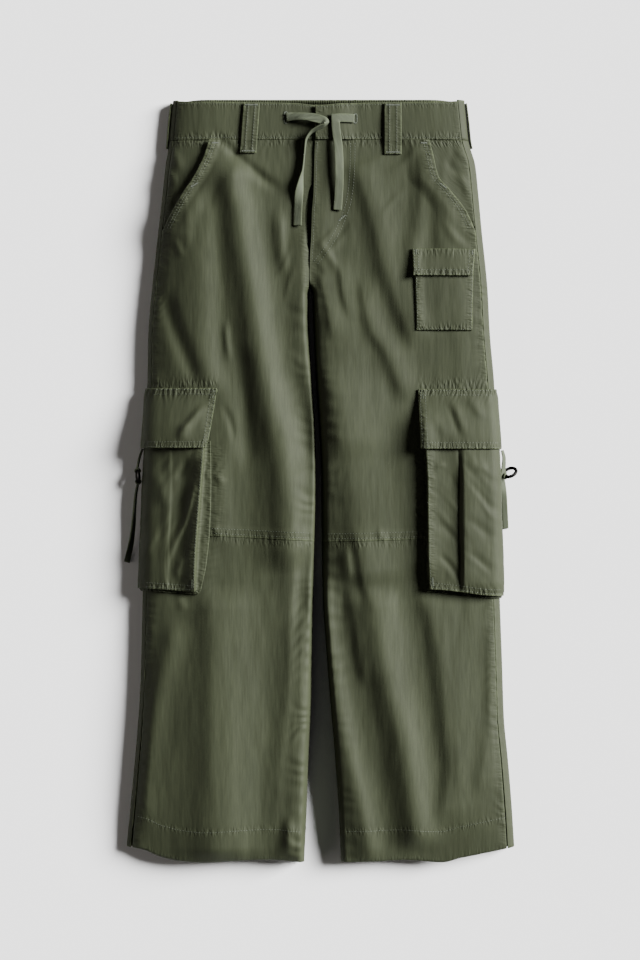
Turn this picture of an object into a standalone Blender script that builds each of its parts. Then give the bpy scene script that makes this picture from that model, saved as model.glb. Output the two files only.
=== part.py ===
"""Cargo trousers laid flat on their back, every cut piece a closed solid of its own.

World frame: metres, +Z up, +Y towards the waist, +X towards the wearer's left, the surface
they lie on at z = 0. The functions work in millimetres: "across" is +X from the centre line,
"down" is the distance below the waist's top edge, "lift" is the distance out of the cloth.
"""

from collections import namedtuple
from math import cos, pi, radians, sin

import bpy
import numpy as np
from mathutils import Euler, Vector

MM = 0.001
LENGTH = 838.0  # waist's top edge to hem
CLOTH = 1.2  # one layer of cotton with its seam allowance
BAND = 3.0  # waistband, folded double over its interlining
FLAP = 1.8  # pocket flaps, two layers pressed together
LOOP = 1.7  # belt loops
TAPE = 1.1  # woven tape
GAP = 0.4  # between pieces that meet at a seam
BAND_GAP = 0.35  # either side of the seam between front and back waistbands
INSEAM_GAP = 0.5  # between the edges of front and back at the inseam, one over the other
SEAM_STEP = 2.2  # first and last strip beside a side seam, so that both walls end alike

WAIST_SEAM = 43.0
KNEE_SEAM = 480.0
CROTCH = 210.0
CROTCH_ROUND = 14.0  # how far above the crotch the layers start to close

SHOULDER = {"right": 16.0, "left": 10.0}  # width of the turn from a leg's side to its top
UNDER = 9.0  # width of the turn from a leg's side down to the floor
INNER_TURN = 12.0  # width of the finely divided strip at the inseam
# Each leg's top leans: beyond the turn it goes on rising in a wide dome. Share of the rise that
# is in the turn, then the dome's width.
SIDE_RISE = {"right": (0.4, 56.0), "left": (0.6, 60.0)}
INNER_DOME = 40.0
# At the inseam: down, each turn's width, and the left leg's share of its rise that is in it.
INNER_RISE = np.array([
    # down  right left  share
    [210.0, 6.0, 5.0, 1.0],
    [245.0, 7.0, 6.0, 0.95],
    [310.0, 6.0, 10.0, 0.7],
    [480.0, 6.0, 12.0, 0.58],
    [545.0, 6.0, 6.0, 0.95],
    [838.0, 6.0, 5.0, 0.95],
])
SEAM_INSET = {"right": 5.0, "left": 8.0}  # side seams show on the front
SIGN = {"right": -1.0, "left": 1.0}  # the wearer's sides

FRONT_COLUMNS = 17
FRONT_TURN = (34.0, 64.0, 84.0, 90.0)  # degrees round the inseam's turn, from the top
BACK_TURN = (90.0, 83.0, 58.0, 30.0)  # degrees round the inseam's turn, to the floor

OLIVE = (0.085, 0.105, 0.055)
TAPE_OLIVE = (0.16, 0.18, 0.12)
DARK_METAL = (0.12, 0.12, 0.12)

# One row for each level: down, then how far each outer edge lies from the centre line.
SIDE_EDGE = np.array([
    # down  right   left
    [0.0, 163.0, 159.0],
    [20.0, 165.0, 161.0],
    [43.0, 167.0, 163.5],
    [70.0, 171.0, 171.0],
    [98.0, 174.0, 174.0],
    [142.0, 179.0, 178.0],
    [207.0, 186.0, 184.5],
    [255.0, 190.0, 187.0],
    [315.0, 191.0, 192.0],
    [380.0, 192.5, 194.5],
    [480.0, 195.0, 196.0],
    [549.0, 196.5, 198.0],
    [619.0, 198.0, 200.5],
    [681.0, 201.0, 202.5],
    [728.0, 204.5, 206.5],
    [782.0, 209.0, 210.5],
    [838.0, 214.0, 214.0],
])

# One row for each level: down, then where each half's inner edge runs across. Above the
# crotch it is the front's closing line, which gapes beside the fly, and below it the inseam.
INNER_EDGE = np.array([
    # down  right   left
    [43.0, -6.6, -6.2],
    [85.0, -7.6, -7.2],
    [100.0, -13.0, -7.6],
    [125.0, -17.0, -9.5],
    [150.0, -16.5, -10.2],
    [172.0, -12.2, -11.4],
    [200.0, -12.8, -12.0],
    [210.0, -13.0, -9.0],
    [232.0, -13.2, -8.4],
    [260.0, -12.2, -7.4],
    [307.0, -9.6, -5.2],
    [362.0, -6.0, -1.6],
    [417.0, -5.0, 0.8],
    [505.0, -7.0, 1.6],
    [549.0, -7.8, 2.6],
    [593.0, -8.8, 5.6],
    [659.0, -10.2, 10.6],
    [725.0, -13.2, 16.2],
    [783.0, -15.4, 20.2],
    [838.0, -18.0, 22.6],
])
CENTRE_BACK = -11.5  # across, where the two backs meet above the crotch

# One row for each level: down, height of the top layer, height of the sides' widest point.
HEIGHT = np.array([
    # down  crown  rim
    [0.0, 21.5, 8.0],
    [43.0, 23.5, 8.5],
    [90.0, 27.5, 9.0],
    [210.0, 27.5, 9.5],
    [480.0, 27.5, 9.5],
    [700.0, 28.0, 9.5],
    [790.0, 25.5, 9.5],
    [838.0, 19.0, 8.5],
])

# Slant pocket openings: down, then how far each opening's edge lies from the centre line.
HIP_OPENING = np.array([
    # down  right   left
    [43.0, 122.5, 119.5],
    [59.0, 127.0, 123.5],
    [84.0, 139.0, 129.5],
    [100.0, 150.0, 143.0],
    [122.0, 163.0, 160.0],
    [143.0, 174.0, 170.0],
])
OPENING_END = 143.0
FACING_UNDERLAP = 14.0

# The hem's edge: how far in from the side, as a part of the leg's width, then down.
HEM = np.array([
    # part  right   left
    [0.00, 821.0, 821.0],
    [0.09, 824.0, 824.5],
    [0.18, 831.0, 828.0],
    [0.31, 836.5, 833.0],
    [0.42, 838.0, 838.0],
    [0.62, 836.0, 835.5],
    [0.80, 835.0, 837.0],
    [1.00, 838.0, 838.0],
])

# Top edge of the front waistbands: across, down.
BAND_TOP = np.array([
    # across down
    [-170.0, 1.5],
    [-140.0, 3.0],
    [-30.0, 4.0],
    [0.0, 6.0],
    [22.0, 4.5],
    [60.0, 3.0],
    [140.0, 3.0],
    [170.0, 1.5],
])

# A fold is a ridge along a path of (across, down) points, listed downwards. Its height, and
# its reach to the wearer's right and to the left of its crest, are each given at its top and
# at its bottom. A trough's height is negative.
Fold = namedtuple("Fold", "height right left path")
FADE = 30.0  # length of a fold's tapered ends
LEG_FOLDS = (
    # right leg, waist to knee
    Fold((3.5, 3.5), (8, 8), (9, 9), ((-108, 40), (-89, 59), (-64, 81), (-36, 102))),
    Fold((4, 6), (30, 30), (18, 18), ((-135, 95), (-131, 208), (-130, 274), (-118, 330))),
    Fold((9, 13.5), (16, 27), (17, 16), (
        (-100, 56), (-97, 98), (-92, 120), (-86, 164), (-78, 208), (-72, 252), (-64, 296),
        (-54, 340), (-44, 374), (-37, 428), (-34, 460), (-32, 520))),
    Fold((4, 3.5), (14, 20), (6, 5), (
        (-19, 130), (-20, 200), (-19, 252), (-14, 300), (-11, 345), (-9, 400), (-9, 450))),
    Fold((3, 3), (8, 8), (6, 6), ((-46, 112), (-44, 150), (-40, 196))),
    Fold((-5, -5), (12, 14), (13, 13), ((-141, 385), (-150, 440), (-154, 500), (-152, 560))),
    Fold((-3.5, -3.5), (9, 9), (9, 9), ((-174, 205), (-159, 252), (-150, 274), (-132, 322))),
    Fold((2, 2), (4, 4), (4, 4), ((-104, 236), (-103, 262), (-100, 292))),
    # left leg, waist to knee
    Fold((4, 5), (12, 12), (20, 20), ((37, 62), (57, 120), (73, 186), (89, 230), (108, 276))),
    Fold((3, 4), (7, 10), (16, 16), ((44, 190), (57, 252), (72, 274), (98, 336))),
    Fold((3.5, 3.5), (5, 5), (14, 14), ((-4, 172), (4, 208), (9, 230), (16, 272))),
    Fold((2.5, 2.5), (5, 5), (12, 12), ((23, 168), (25, 208), (36, 246))),
    Fold((3.5, 3.5), (7, 7), (9, 9), ((111, 52), (115, 76), (110, 120), (102, 170))),
    Fold((4, 4), (8, 8), (14, 14), ((127, 78), (129, 98), (132, 142), (138, 172))),
    Fold((2, 4), (20, 25), (32, 32), ((20, 296), (34, 384), (46, 472), (56, 545))),
    Fold((4, 4), (26, 26), (12, 12), ((111, 330), (113, 400), (114, 470), (116, 530))),
    Fold((2.5, 2.5), (13, 13), (8, 8), ((101, 140), (104, 200), (106, 262))),
    Fold((3, 3), (7, 7), (20, 20), ((38, 462), (43, 494), (47, 521), (62, 565))),
    Fold((2.5, 2.5), (9, 9), (5, 5), ((26, 482), (33, 532))),
    # right leg, knee to hem
    Fold((4, 1), (20, 12), (7, 8), ((-28, 488), (-34, 560), (-37, 640), (-44, 714), (-56, 825))),
    Fold((2.5, 7), (10, 34), (8, 9), ((-18, 550), (-22, 615), (-23, 700), (-24, 850))),
    Fold((7, 14), (18, 40), (42, 42), ((-118, 530), (-116, 600), (-114, 714), (-112, 850))),
    Fold((3, 2.5), (10, 12), (14, 14), ((-156, 566), (-170, 615), (-186, 681), (-202, 800))),
    Fold((3, 3), (6, 6), (6, 6), ((-34, 780), (-36, 834))),
    # left leg, knee to hem
    Fold((5, 5.5), (12, 16), (11, 14), (
        (-2, 516), (1, 549), (6, 593), (18, 659), (31, 725), (42, 769), (58, 850))),
    Fold((9, 10), (15, 18), (21, 19), ((57, 530), (65, 582), (74, 640), (91, 714), (110, 830))),
    Fold((1.5, 2), (7, 8), (8, 8), ((36, 524), (40, 590), (51, 668))),
    Fold((4, 5), (12, 12), (25, 25), ((112, 530), (126, 582), (135, 640), (144, 720), (132, 805))),
    Fold((2, 2), (8, 8), (15, 15), ((191, 566), (187, 681), (174, 770))),
)

# Cargo pockets: level, front edge of the face, outer edge of the gusset, pleat, all from the
# centre line, and how far the face stands out of the leg at the outline.
POCKET = {
    "right": np.array([
        # down  face  gusset pleat  side
        [374.0, 126.5, 120.5, 165.0, 1.6],
        [420.0, 131.0, 121.0, 165.5, 3.2],
        [464.0, 136.0, 121.5, 166.5, 4.2],
        [506.0, 137.0, 125.5, 171.0, 5.0],
        [538.0, 137.5, 131.0, 169.0, 5.5],
    ]),
    "left": np.array([
        # down  face  gusset pleat  side
        [374.0, 116.0, 115.0, 154.0, 1.6],
        [420.0, 118.5, 117.0, 156.0, 2.4],
        [464.0, 119.0, 117.5, 155.0, 3.2],
        [506.0, 119.5, 118.0, 157.0, 4.6],
        [544.0, 121.0, 119.5, 156.0, 3.6],
    ]),
}
POCKET_MOUTH = 374.0
POCKET_BOTTOM = {"right": (539.0, 536.0), "left": (536.5, 544.0)}  # down, front to side
POCKET_LIFT = {"right": 10.2, "left": 12.0}
PLEAT_DEPTH = {"right": 2.6, "left": 4.4}
PANEL_STEP = {"right": 0.0, "left": 4.5}  # side panel over the front panel, at the pleat
STEP_START, STEP_LENGTH = 380.0, 40.0  # the step grows in over this length, below the flap
STEP_WIDTH = 16.0  # and is gone this far past the pleat
POCKET_SEAT = 2.3  # a gusset's outer skin over the leg, where it is sewn down
POCKET_TURN = (65.0, 40.0, 18.0, -4.0, -24.0, -40.0)  # degrees round the leg's side

# Flaps: level, front edge from the centre line, lift of the outer face.
CARGO_FLAP = {
    "right": np.array([
        # down  front  lift
        [316.0, 113.5, 2.4],
        [329.0, 115.0, 4.6],
        [345.0, 117.5, 8.2],
        [360.0, 120.0, 11.4],
        [373.0, 122.5, 13.0],
        [382.0, 125.5, 13.4],
    ]),
    "left": np.array([
        # down  front  lift
        [317.0, 108.5, 2.4],
        [329.0, 109.0, 5.0],
        [345.0, 109.8, 9.5],
        [360.0, 110.6, 13.0],
        [373.0, 111.3, 14.8],
        [383.0, 112.0, 15.2],
    ]),
}
FLAP_SIDE = 3.7  # how far a flap stands out of the leg at the outline
FLAP_TURN = (65.0, 40.0, 18.0, -4.0, -20.0)

COIN_POCKET = {"inner": (103.0, 105.0), "outer": (168.0, 166.5), "levels": (184.0, 253.0)}
COIN_FLAP = {"inner": (100.5, 101.5), "outer": (170.0, 167.0), "levels": (163.0, 193.0)}

# Belt loops: across at the top and bottom, width, levels.
FRONT_LOOPS = {
    "right": {"across": (-75.5, -79.5), "width": 18.0, "levels": (2.5, 58.0)},
    "left": {"across": (79.5, 79.5), "width": 19.0, "levels": (2.5, 59.5)},
}
LOOP_CLEAR = {"right": 1.4, "left": 0.7}  # under a front belt loop, at its ends
SIDE_LOOP_LEVELS = (1.0, 51.0)
SIDE_LOOP_TURN = (30.0, 16.0, 1.0, -14.0, -28.0)
SIDE_LOOP_BOW = {"right": 1.6, "left": 1.8}

# Tapes: a row for each point of the route, with the lift of its outer face over the front and
# the lean of its width out of the surface, in degrees.
DRAWSTRING_WIDTH = 9.5
DRAWSTRINGS = {
    "right": np.array([
        # across down  lift   lean
        [-38.0, 18.5, 2.6, 0.0],
        [-30.0, 18.0, 3.4, 0.0],
        [-20.0, 18.0, 5.2, 0.0],
        [-8.0, 19.0, 8.2, 0.0],
        [2.0, 21.5, 9.4, 0.0],
        [6.6, 24.0, 8.6, 55.0],
        [5.0, 27.5, 7.2, 75.0],
        [-2.0, 31.5, 6.4, 72.0],
        [-10.0, 36.0, 3.8, 78.0],
        [-15.5, 44.0, 1.6, 84.0],
        [-17.0, 60.0, 0.6, 86.0],
        [-18.6, 76.0, 0.8, 84.0],
        [-21.2, 90.0, 1.6, 60.0],
        [-23.6, 104.0, 2.2, 24.0],
        [-24.6, 118.0, 2.2, 4.0],
        [-25.4, 138.0, 2.2, 0.0],
    ]),
    "left": np.array([
        # across down  lift   lean
        [37.0, 19.5, 3.6, 0.0],
        [31.0, 19.0, 5.0, 0.0],
        [24.0, 19.5, 6.8, 0.0],
        [19.0, 22.5, 7.4, 0.0],
        [17.2, 29.0, 7.4, 0.0],
        [18.0, 38.0, 7.2, 0.0],
        [19.4, 50.0, 5.2, 0.0],
        [20.4, 66.0, 3.6, 0.0],
        [20.6, 84.0, 3.2, 0.0],
        [20.0, 103.0, 2.8, 0.0],
        [18.6, 121.0, 2.6, 0.0],
    ]),
}

# The ties at the cargo pockets hang from metal rings. A ring's centre is across, down, height,
# and it is turned about Y and then Z. Its tab and its tie meet it at the angles given, round
# its own plane from +X.
RINGS = {
    "right": {"centre": (-201.4, 412.8, 10.4), "across": 16.0, "turns": (84.0, 3.0),
              "tab": 90.0, "tie": -90.0},
    "left": {"centre": (208.6, 409.6, 9.0), "across": 18.0, "turns": (32.0, -12.0),
             "tab": 130.0, "tie": -98.0},
}
TIE_WIDTH = 6.5
# Points from the pocket to the ring, and from the ring to the free end: across, down, height
# and lean in degrees. The ring's own end of each is worked out.
TABS = {
    "right": ((-195.7, 382.7, 9.0, 80.0), (-199.2, 393.0, 8.4, 80.0)),
    "left": ((200.9, 384.0, 10.5, 66.0), (202.8, 393.5, 10.0, 56.0)),
}
TIES = {
    "right": (
        (-203.2, 433.0, 6.8, 74.0),
        (-204.6, 447.0, 6.2, 70.0),
        (-205.8, 462.0, 5.4, 60.0),
        (-208.0, 480.0, 4.2, 45.0),
        (-211.0, 495.0, 2.8, 25.0),
        (-214.5, 508.0, 1.4, 0.0),
    ),
    "left": (
        (203.6, 427.0, 7.4, 15.0),
        (203.8, 440.0, 3.2, 5.0),
        (204.2, 454.0, 1.6, 0.0),
        (205.0, 470.5, 1.6, 0.0),
    ),
}
RING_LEAN = {"right": 80.0, "left": 40.0}  # of a tab's and a tie's width beside the ring
RING_WIRE = 2.0

BAND_RAISE = 3.8  # how far the left waistband's end rides over the right one
FLY_RAISE = 2.2  # how far the fly edge rides over its shield
OPENING_RAISE = {"right": 2.6, "left": 2.6}  # front edge of a slant pocket over its facing
OPENING_GAPE = {"right": 3.4, "left": 0.3}
RIBS = 60  # gathers of the elastic waistband
RIB_THIN = 0.45  # a gather's thinnest part, as a part of the band


def through(table, column, at):
    """A smooth curve through a table's column, whose slope at a row is the harmonic mean of
    the slopes on its two sides, so that it never overshoots."""
    knots, values = table[:, 0], table[:, column]
    steps = np.diff(knots)
    rises = np.diff(values) / steps
    before, after = rises[:-1], rises[1:]
    same = before * after > 0
    total = np.where(same, before + after, 1.0)
    middle = np.where(same, 2 * before * after / total, 0.0)
    slopes = np.concatenate([rises[:1], middle, rises[-1:]])
    at = np.clip(at, knots[0], knots[-1])
    i = np.clip(np.searchsorted(knots, at, side="right") - 1, 0, len(steps) - 1)
    s = (at - knots[i]) / steps[i]
    keep, turn = 1 - s * s * (3 - 2 * s), s * (1 - s)
    return (keep * values[i] + (1 - keep) * values[i + 1]
            + steps[i] * turn * ((1 - s) * slopes[i] - s * slopes[i + 1]))


def ease(value):
    """0 below 0, 1 above 1, and a soft step between."""
    s = np.clip(value, 0.0, 1.0)
    return s * s * (3 - 2 * s)


def quarter(value):
    """The height of a quarter ellipse, from 0 at its foot to 1."""
    return np.sqrt(1 - (1 - np.clip(value, 0.0, 1.0)) ** 2)


def rise(distance, turn, share, dome):
    """How much of its full height a leg reaches at a distance from its edge: a share of it in
    the turn at the edge, the rest in a parabola as wide as the dome."""
    wide = 1 - (1 - np.clip(distance / dome, 0.0, 1.0)) ** 2
    return share * quarter(distance / turn) + (1 - share) * wide


def side_edge(side, down):
    return through(SIDE_EDGE, 1 if side == "right" else 2, down)


def inner_edge(side, down):
    return through(INNER_EDGE, 1 if side == "right" else 2, down)


def closing(down):
    """0 where front and back lie apart at the centre, 1 at the crotch and below it."""
    return 1 - quarter((CROTCH - down) / CROTCH_ROUND)


def fold_height(folds, across, down):
    """All folds together. Each runs along the chord of its path, off which the path's points
    set its crest: height * exp(-(distance from the crest / reach) ** 2)."""
    total = np.zeros(np.broadcast(across, down).shape)
    for fold in folds:
        path = np.array(fold.path, float)
        chord = path[-1] - path[0]
        length = np.hypot(*chord)
        chord /= length
        aside = np.array([chord[1], -chord[0]])
        crest = np.column_stack([(path - path[0]) @ chord, (path - path[0]) @ aside])
        from_start = np.stack(np.broadcast_arrays(across - path[0, 0], down - path[0, 1]), -1)
        along, off = from_start @ chord, from_start @ aside
        bend = (through(crest, 1, along + 1) - through(crest, 1, along - 1)) / 2
        off = (off - through(crest, 1, along)) / np.hypot(1, bend)
        part = np.clip(along / length, 0, 1)
        height, right, left = (a + (b - a) * part for a, b in fold[:3])
        fade = min(FADE, 0.4 * length)
        taper = ease(along / fade) * ease((length - along) / fade)
        total += height * taper * np.exp(-((off / np.where(off < 0, right, left)) ** 2))
    return total


def top(side, across, down):
    """Height of the front's outer skin, its main folds included."""
    crown, rim = through(HEIGHT, 1, down), through(HEIGHT, 2, down)
    from_side = np.abs(SIGN[side] * side_edge(side, down) - across)
    from_inner = np.abs(inner_edge(side, down) - across)
    close = closing(down)
    turn = through(INNER_RISE, 1 if side == "right" else 2, down)
    share = 1.0 if side == "right" else through(INNER_RISE, 3, down)
    inner = 1 - close * (1 - rise(from_inner, turn, share, INNER_DOME))
    calm = ease((from_side - 3) / 16) * (1 - close * (1 - ease(from_inner / 4)))
    calm = calm * ease((down - 20) / 40) * ease((LENGTH + 40 - down) / 60)
    return rim + (crown - rim) * rise(from_side, SHOULDER[side], *SIDE_RISE[side]) * inner + (
        calm * fold_height(LEG_FOLDS, across, down))


def opening_raise(side, across, down):
    """How far the front lies above its own plateau beside the slant pocket and the fly."""
    edge = through(HIP_OPENING, 1 if side == "right" else 2, down)
    inside = edge - np.abs(across)
    end = ease((OPENING_END + 22 - down) / 22)
    hip = OPENING_RAISE[side] * (1 - ease((inside - FACING_UNDERLAP - 3) / 20))
    gape = OPENING_GAPE[side] * (1 - ease(inside / 16)) * np.sin(
        pi * np.clip((down - 30) / 120, 0, 1))
    raised = end * (hip + gape)
    if side == "left":
        from_fly = np.abs(across - inner_edge(side, down))
        raised = raised + FLY_RAISE * (1 - ease((from_fly - 10) / 26)) * ease((196 - down) / 22)
    return raised


def band_raise(across):
    """How far the left waistband lies above its own plateau where it laps the right one."""
    return BAND_RAISE * (1 - ease((across - 18) / 26))


def points(across, down, height):
    """Grid of points from across, down and height, in world millimetres."""
    across, down, height = np.broadcast_arrays(across, down, height)
    return np.stack([across, LENGTH / 2 - down, height], axis=-1)


def round_side(side, down, angle, lift):
    """Points round a leg's side, moved out of it by lift. Angle 90 is the top of the turn,
    0 the outline and -90 the floor, in degrees."""
    out, up = np.cos(np.radians(angle)), np.sin(np.radians(angle))
    width = np.where(angle > 0, SHOULDER[side], UNDER)
    edge = side_edge(side, down)
    skin = SIGN[side] * (edge - width * (1 - out))
    rim = through(HEIGHT, 2, down)
    height = np.where(angle > 0, top(side, skin, down), rim * (1 + up))
    across = SIGN[side] * (np.abs(skin) + lift * out)
    return points(across, down, height + lift * up)


def material(name, colour, roughness, metallic=0.0):
    made = bpy.data.materials.new(name)
    made.use_nodes = True
    shader = made.node_tree.nodes["Principled BSDF"]
    shader.inputs["Base Color"].default_value = (*colour, 1.0)
    shader.inputs["Roughness"].default_value = roughness
    shader.inputs["Metallic"].default_value = metallic
    return made


def sheet(name, grid, wall, colour=OLIVE, facing=(0.0, 0.0, 1.0), thin=None):
    """A wall of cloth from a grid of its outer skin's points. It faces the way given, and
    thin is the part of the wall that each column keeps."""
    rows, columns = grid.shape[:2]
    index = np.arange(rows * columns).reshape(rows, columns)
    faces = np.stack([index[:-1, :-1], index[:-1, 1:], index[1:, 1:], index[1:, :-1]], axis=-1)
    sides = np.cross(grid[1:, 1:] - grid[:-1, :-1], grid[1:, :-1] - grid[:-1, 1:])
    faces = faces.reshape(-1, 4)
    if (sides.reshape(-1, 3) @ np.array(facing)).sum() < 0:
        faces = faces[:, ::-1]
    mesh = bpy.data.meshes.new(name)
    mesh.from_pydata((grid.reshape(-1, 3) * MM).tolist(), [], faces.tolist())
    mesh.shade_smooth()
    made = bpy.data.objects.new(name, mesh)
    mesh.materials.append(material(name, colour, 0.85))
    bpy.data.collections["cargo_trousers"].objects.link(made)
    solid = made.modifiers.new("wall", "SOLIDIFY")
    solid.thickness = wall * MM
    solid.offset = -1.0
    solid.use_even_offset = True
    if thin is not None:
        group = made.vertex_groups.new(name="wall")
        for column, part in enumerate(thin):
            group.add(index[:, column].tolist(), float(part), "REPLACE")
        solid.vertex_group = "wall"
    return made


def level_rows(start, end, count, extra=()):
    """Evenly spaced levels with a few more put in."""
    return np.unique(np.concatenate([np.linspace(start, end, count), extra]))


CROTCH_LEVELS = tuple(CROTCH - CROTCH_ROUND * part for part in (1.0, 0.5, 0.13, 0.0))


HIP_LEVELS = (56.0, 70.0, 98.0, 120.0, 140.0, 262.0, 315.0)  # where the outline bends most


def knee(side, part):
    """The knee seam's level, a part of the way in from the side."""
    return KNEE_SEAM + (-5 + 9 * part if side == "right" else 5 * part)


def hem(side, part):
    return through(HEM, 1 if side == "right" else 2, part)


def front_start(side, down):
    """How far from the centre line a front panel starts: at its slant opening, then at the
    side seam."""
    column = 1 if side == "right" else 2
    seam = side_edge(side, down) - SEAM_INSET[side] - GAP / 2
    opening = through(HIP_OPENING, column, down)
    return np.where(down < OPENING_END, np.minimum(opening, seam), seam)


def front_across(side, down):
    """Where a front's columns run: one beside the side seam, then even ones to the inner
    turn, and then round it. Down has a column for each of them."""
    even = np.linspace(0.0, 1.0, FRONT_COLUMNS)
    turn = np.sin(np.radians(FRONT_TURN))
    part = np.concatenate([[0.0], even, np.ones(len(turn))])
    step = np.concatenate([[0.0], SEAM_STEP * (1 - even), np.zeros(len(turn))])
    round_in = INNER_TURN * np.concatenate([np.zeros(len(even) + 1), turn])
    start = front_start(side, down)
    inward = np.abs(SIGN[side] * start - inner_edge(side, down)) - INNER_TURN
    return SIGN[side] * (start - (step + part * inward + round_in))


def width_part(side, across, down):
    """How far in from the side a point lies, as a part of the leg's width."""
    outer, inner = SIGN[side] * side_edge(side, down), inner_edge(side, down)
    return np.clip((outer - across) / (outer - inner), 0.0, 1.0)


def front_grid(levels):
    columns = FRONT_COLUMNS + 1 + len(FRONT_TURN)
    return np.repeat(levels[:, None], columns, axis=1)


def front_upper(side):
    levels = level_rows(WAIST_SEAM + GAP / 2, KNEE_SEAM, 24, CROTCH_LEVELS)
    levels = front_grid(levels[np.abs(levels - 205) > 1.5])
    part = width_part(side, front_across(side, levels), levels)
    near_knee = ease((levels - 400) / (KNEE_SEAM - 400))
    down = levels + near_knee * (knee(side, part) - GAP / 2 - KNEE_SEAM)
    across = front_across(side, down)
    height = top(side, across, down) + opening_raise(side, across, down)
    return sheet(f"front_{side}_upper", points(across, down, height), CLOTH)


def front_lower(side):
    levels = front_grid(np.linspace(KNEE_SEAM, LENGTH, 17))
    part = width_part(side, front_across(side, levels), levels)
    first, last = knee(side, part) + GAP / 2, hem(side, part)
    down = first + (levels - KNEE_SEAM) / (LENGTH - KNEE_SEAM) * (last - first)
    across = front_across(side, down)
    return sheet(f"front_{side}_lower", points(across, down, top(side, across, down)), CLOTH)


def back_section(side, down):
    """Across and height of a back panel's columns: from the inseam to the floor, along it,
    round the leg's side and up to the side seam on the front."""
    inset = SEAM_INSET[side] - GAP / 2
    sign = SIGN[side]
    turn = 1 - np.sin(np.radians(BACK_TURN))
    before = np.degrees(np.arccos(1 - (inset - SEAM_STEP) / SHOULDER[side]))
    seam = np.degrees(np.arccos(1 - inset / SHOULDER[side]))
    angles = np.radians([-90.0, -60.0, -30.0, 0.0, before * 0.6, before, seam])
    flat = np.linspace(0.0, 1.0, 5)[1:-1]
    close = closing(down)
    inner = (1 - close) * (CENTRE_BACK + sign * GAP / 2) + close * inner_edge(side, down)
    edge = sign * side_edge(side, down)
    rim = through(HEIGHT, 2, down)
    turns, flats = len(turn), len(flat)
    ends = inner[:, :turns] + sign * UNDER * turn
    near, far = inner + sign * UNDER, edge - sign * UNDER
    middle = slice(turns, turns + flats)
    along = near[:, middle] + flat * (far - near)[:, middle]
    width = np.where(angles > 0, SHOULDER[side], UNDER)
    sides = edge[:, turns + flats:] - sign * width * (1 - np.cos(angles))
    up = np.sin(angles)
    rim_end, rim_side = rim[:, :turns], rim[:, turns + flats:]
    rounded = np.where(angles > 0, top(side, sides, down[:, turns + flats:]),
                       rim_side * (1 + up))
    height = np.concatenate([
        close[:, :turns] * (rim_end - INSEAM_GAP) * (1 - quarter(turn)),
        np.zeros_like(along),
        rounded,
    ], axis=1)
    return np.concatenate([ends, along, sides], axis=1), height


def back(side):
    levels = level_rows(WAIST_SEAM + GAP / 2, LENGTH, 20, CROTCH_LEVELS + HIP_LEVELS)
    levels = np.repeat(levels[:, None], len(BACK_TURN) + 3 + 7, axis=1)
    part = width_part(side, back_section(side, levels)[0], levels)
    down = levels + ease((levels - 640) / (LENGTH - 640)) * (hem(side, part) - LENGTH)
    across, height = back_section(side, down)
    return sheet(f"back_{side}", points(across, down, height), CLOTH, facing=(0.0, 0.0, -1.0))


def hip_facing(side):
    """The slant pocket's bearer, from the side seam to a little way under the front."""
    column = 1 if side == "right" else 2
    levels = np.linspace(WAIST_SEAM + GAP / 2, OPENING_END - 4, 9)
    seam = side_edge(side, levels) - SEAM_INSET[side] - GAP
    edge = through(HIP_OPENING, column, levels)
    edge = np.minimum(edge, seam - 0.5)
    shown = np.linspace(0.0, 1.0, 5)
    first = np.minimum(SEAM_STEP, (seam - edge) / 2)[:, None]
    across = np.concatenate([
        seam[:, None],
        seam[:, None] - first + (edge - seam + first[:, 0])[:, None] * shown,
        edge[:, None] - np.array([FACING_UNDERLAP / 2, FACING_UNDERLAP]),
    ], axis=1) * SIGN[side]
    down = np.broadcast_to(levels[:, None], across.shape)
    under = np.array([0.0, 0.0, 0.0, 0.1, 0.3, 0.6, 1.0, 1.0])
    return sheet(f"hip_facing_{side}", points(across, down, top(side, across, down) - under), CLOTH)


def fly_shield():
    """The strip behind the fly edge."""
    levels = np.linspace(WAIST_SEAM + GAP / 2, 182.0, 8)
    across = np.linspace(-27.0, 4.0, 5)
    across, down = np.meshgrid(across, levels)
    height = top("right", across, down) - CLOTH - 1.3
    return sheet("fly_shield", points(across, down, height), CLOTH)


def band_front(side):
    """A front waistband. The left one rides over the right one's end."""
    inset = SEAM_INSET[side] + BAND_GAP
    if side == "right":
        ends = (SIGN[side] * (side_edge(side, 20.0) - inset), 14.0)
    else:
        ends = (side_edge(side, 20.0) - inset, -5.8)
    inward = np.sign(ends[1] - ends[0])
    across = np.concatenate([ends[:1], np.linspace(ends[0] + inward * SEAM_STEP, ends[1], 17)])
    first = through(BAND_TOP, 1, across)
    step = np.linspace(0.0, 1.0, 4)[:, None]
    down = first + step * (WAIST_SEAM - GAP / 2 - first)
    flare = side_edge(side, down) - side_edge(side, 20.0)
    far = (across - ends[1]) / (ends[0] - ends[1])
    wide = across + SIGN[side] * flare * far
    height = top(side, wide, down) + 0.8
    if side == "left":
        height = height + band_raise(wide)
    return sheet(f"waistband_front_{side}", points(wide, down, height), BAND)


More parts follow.
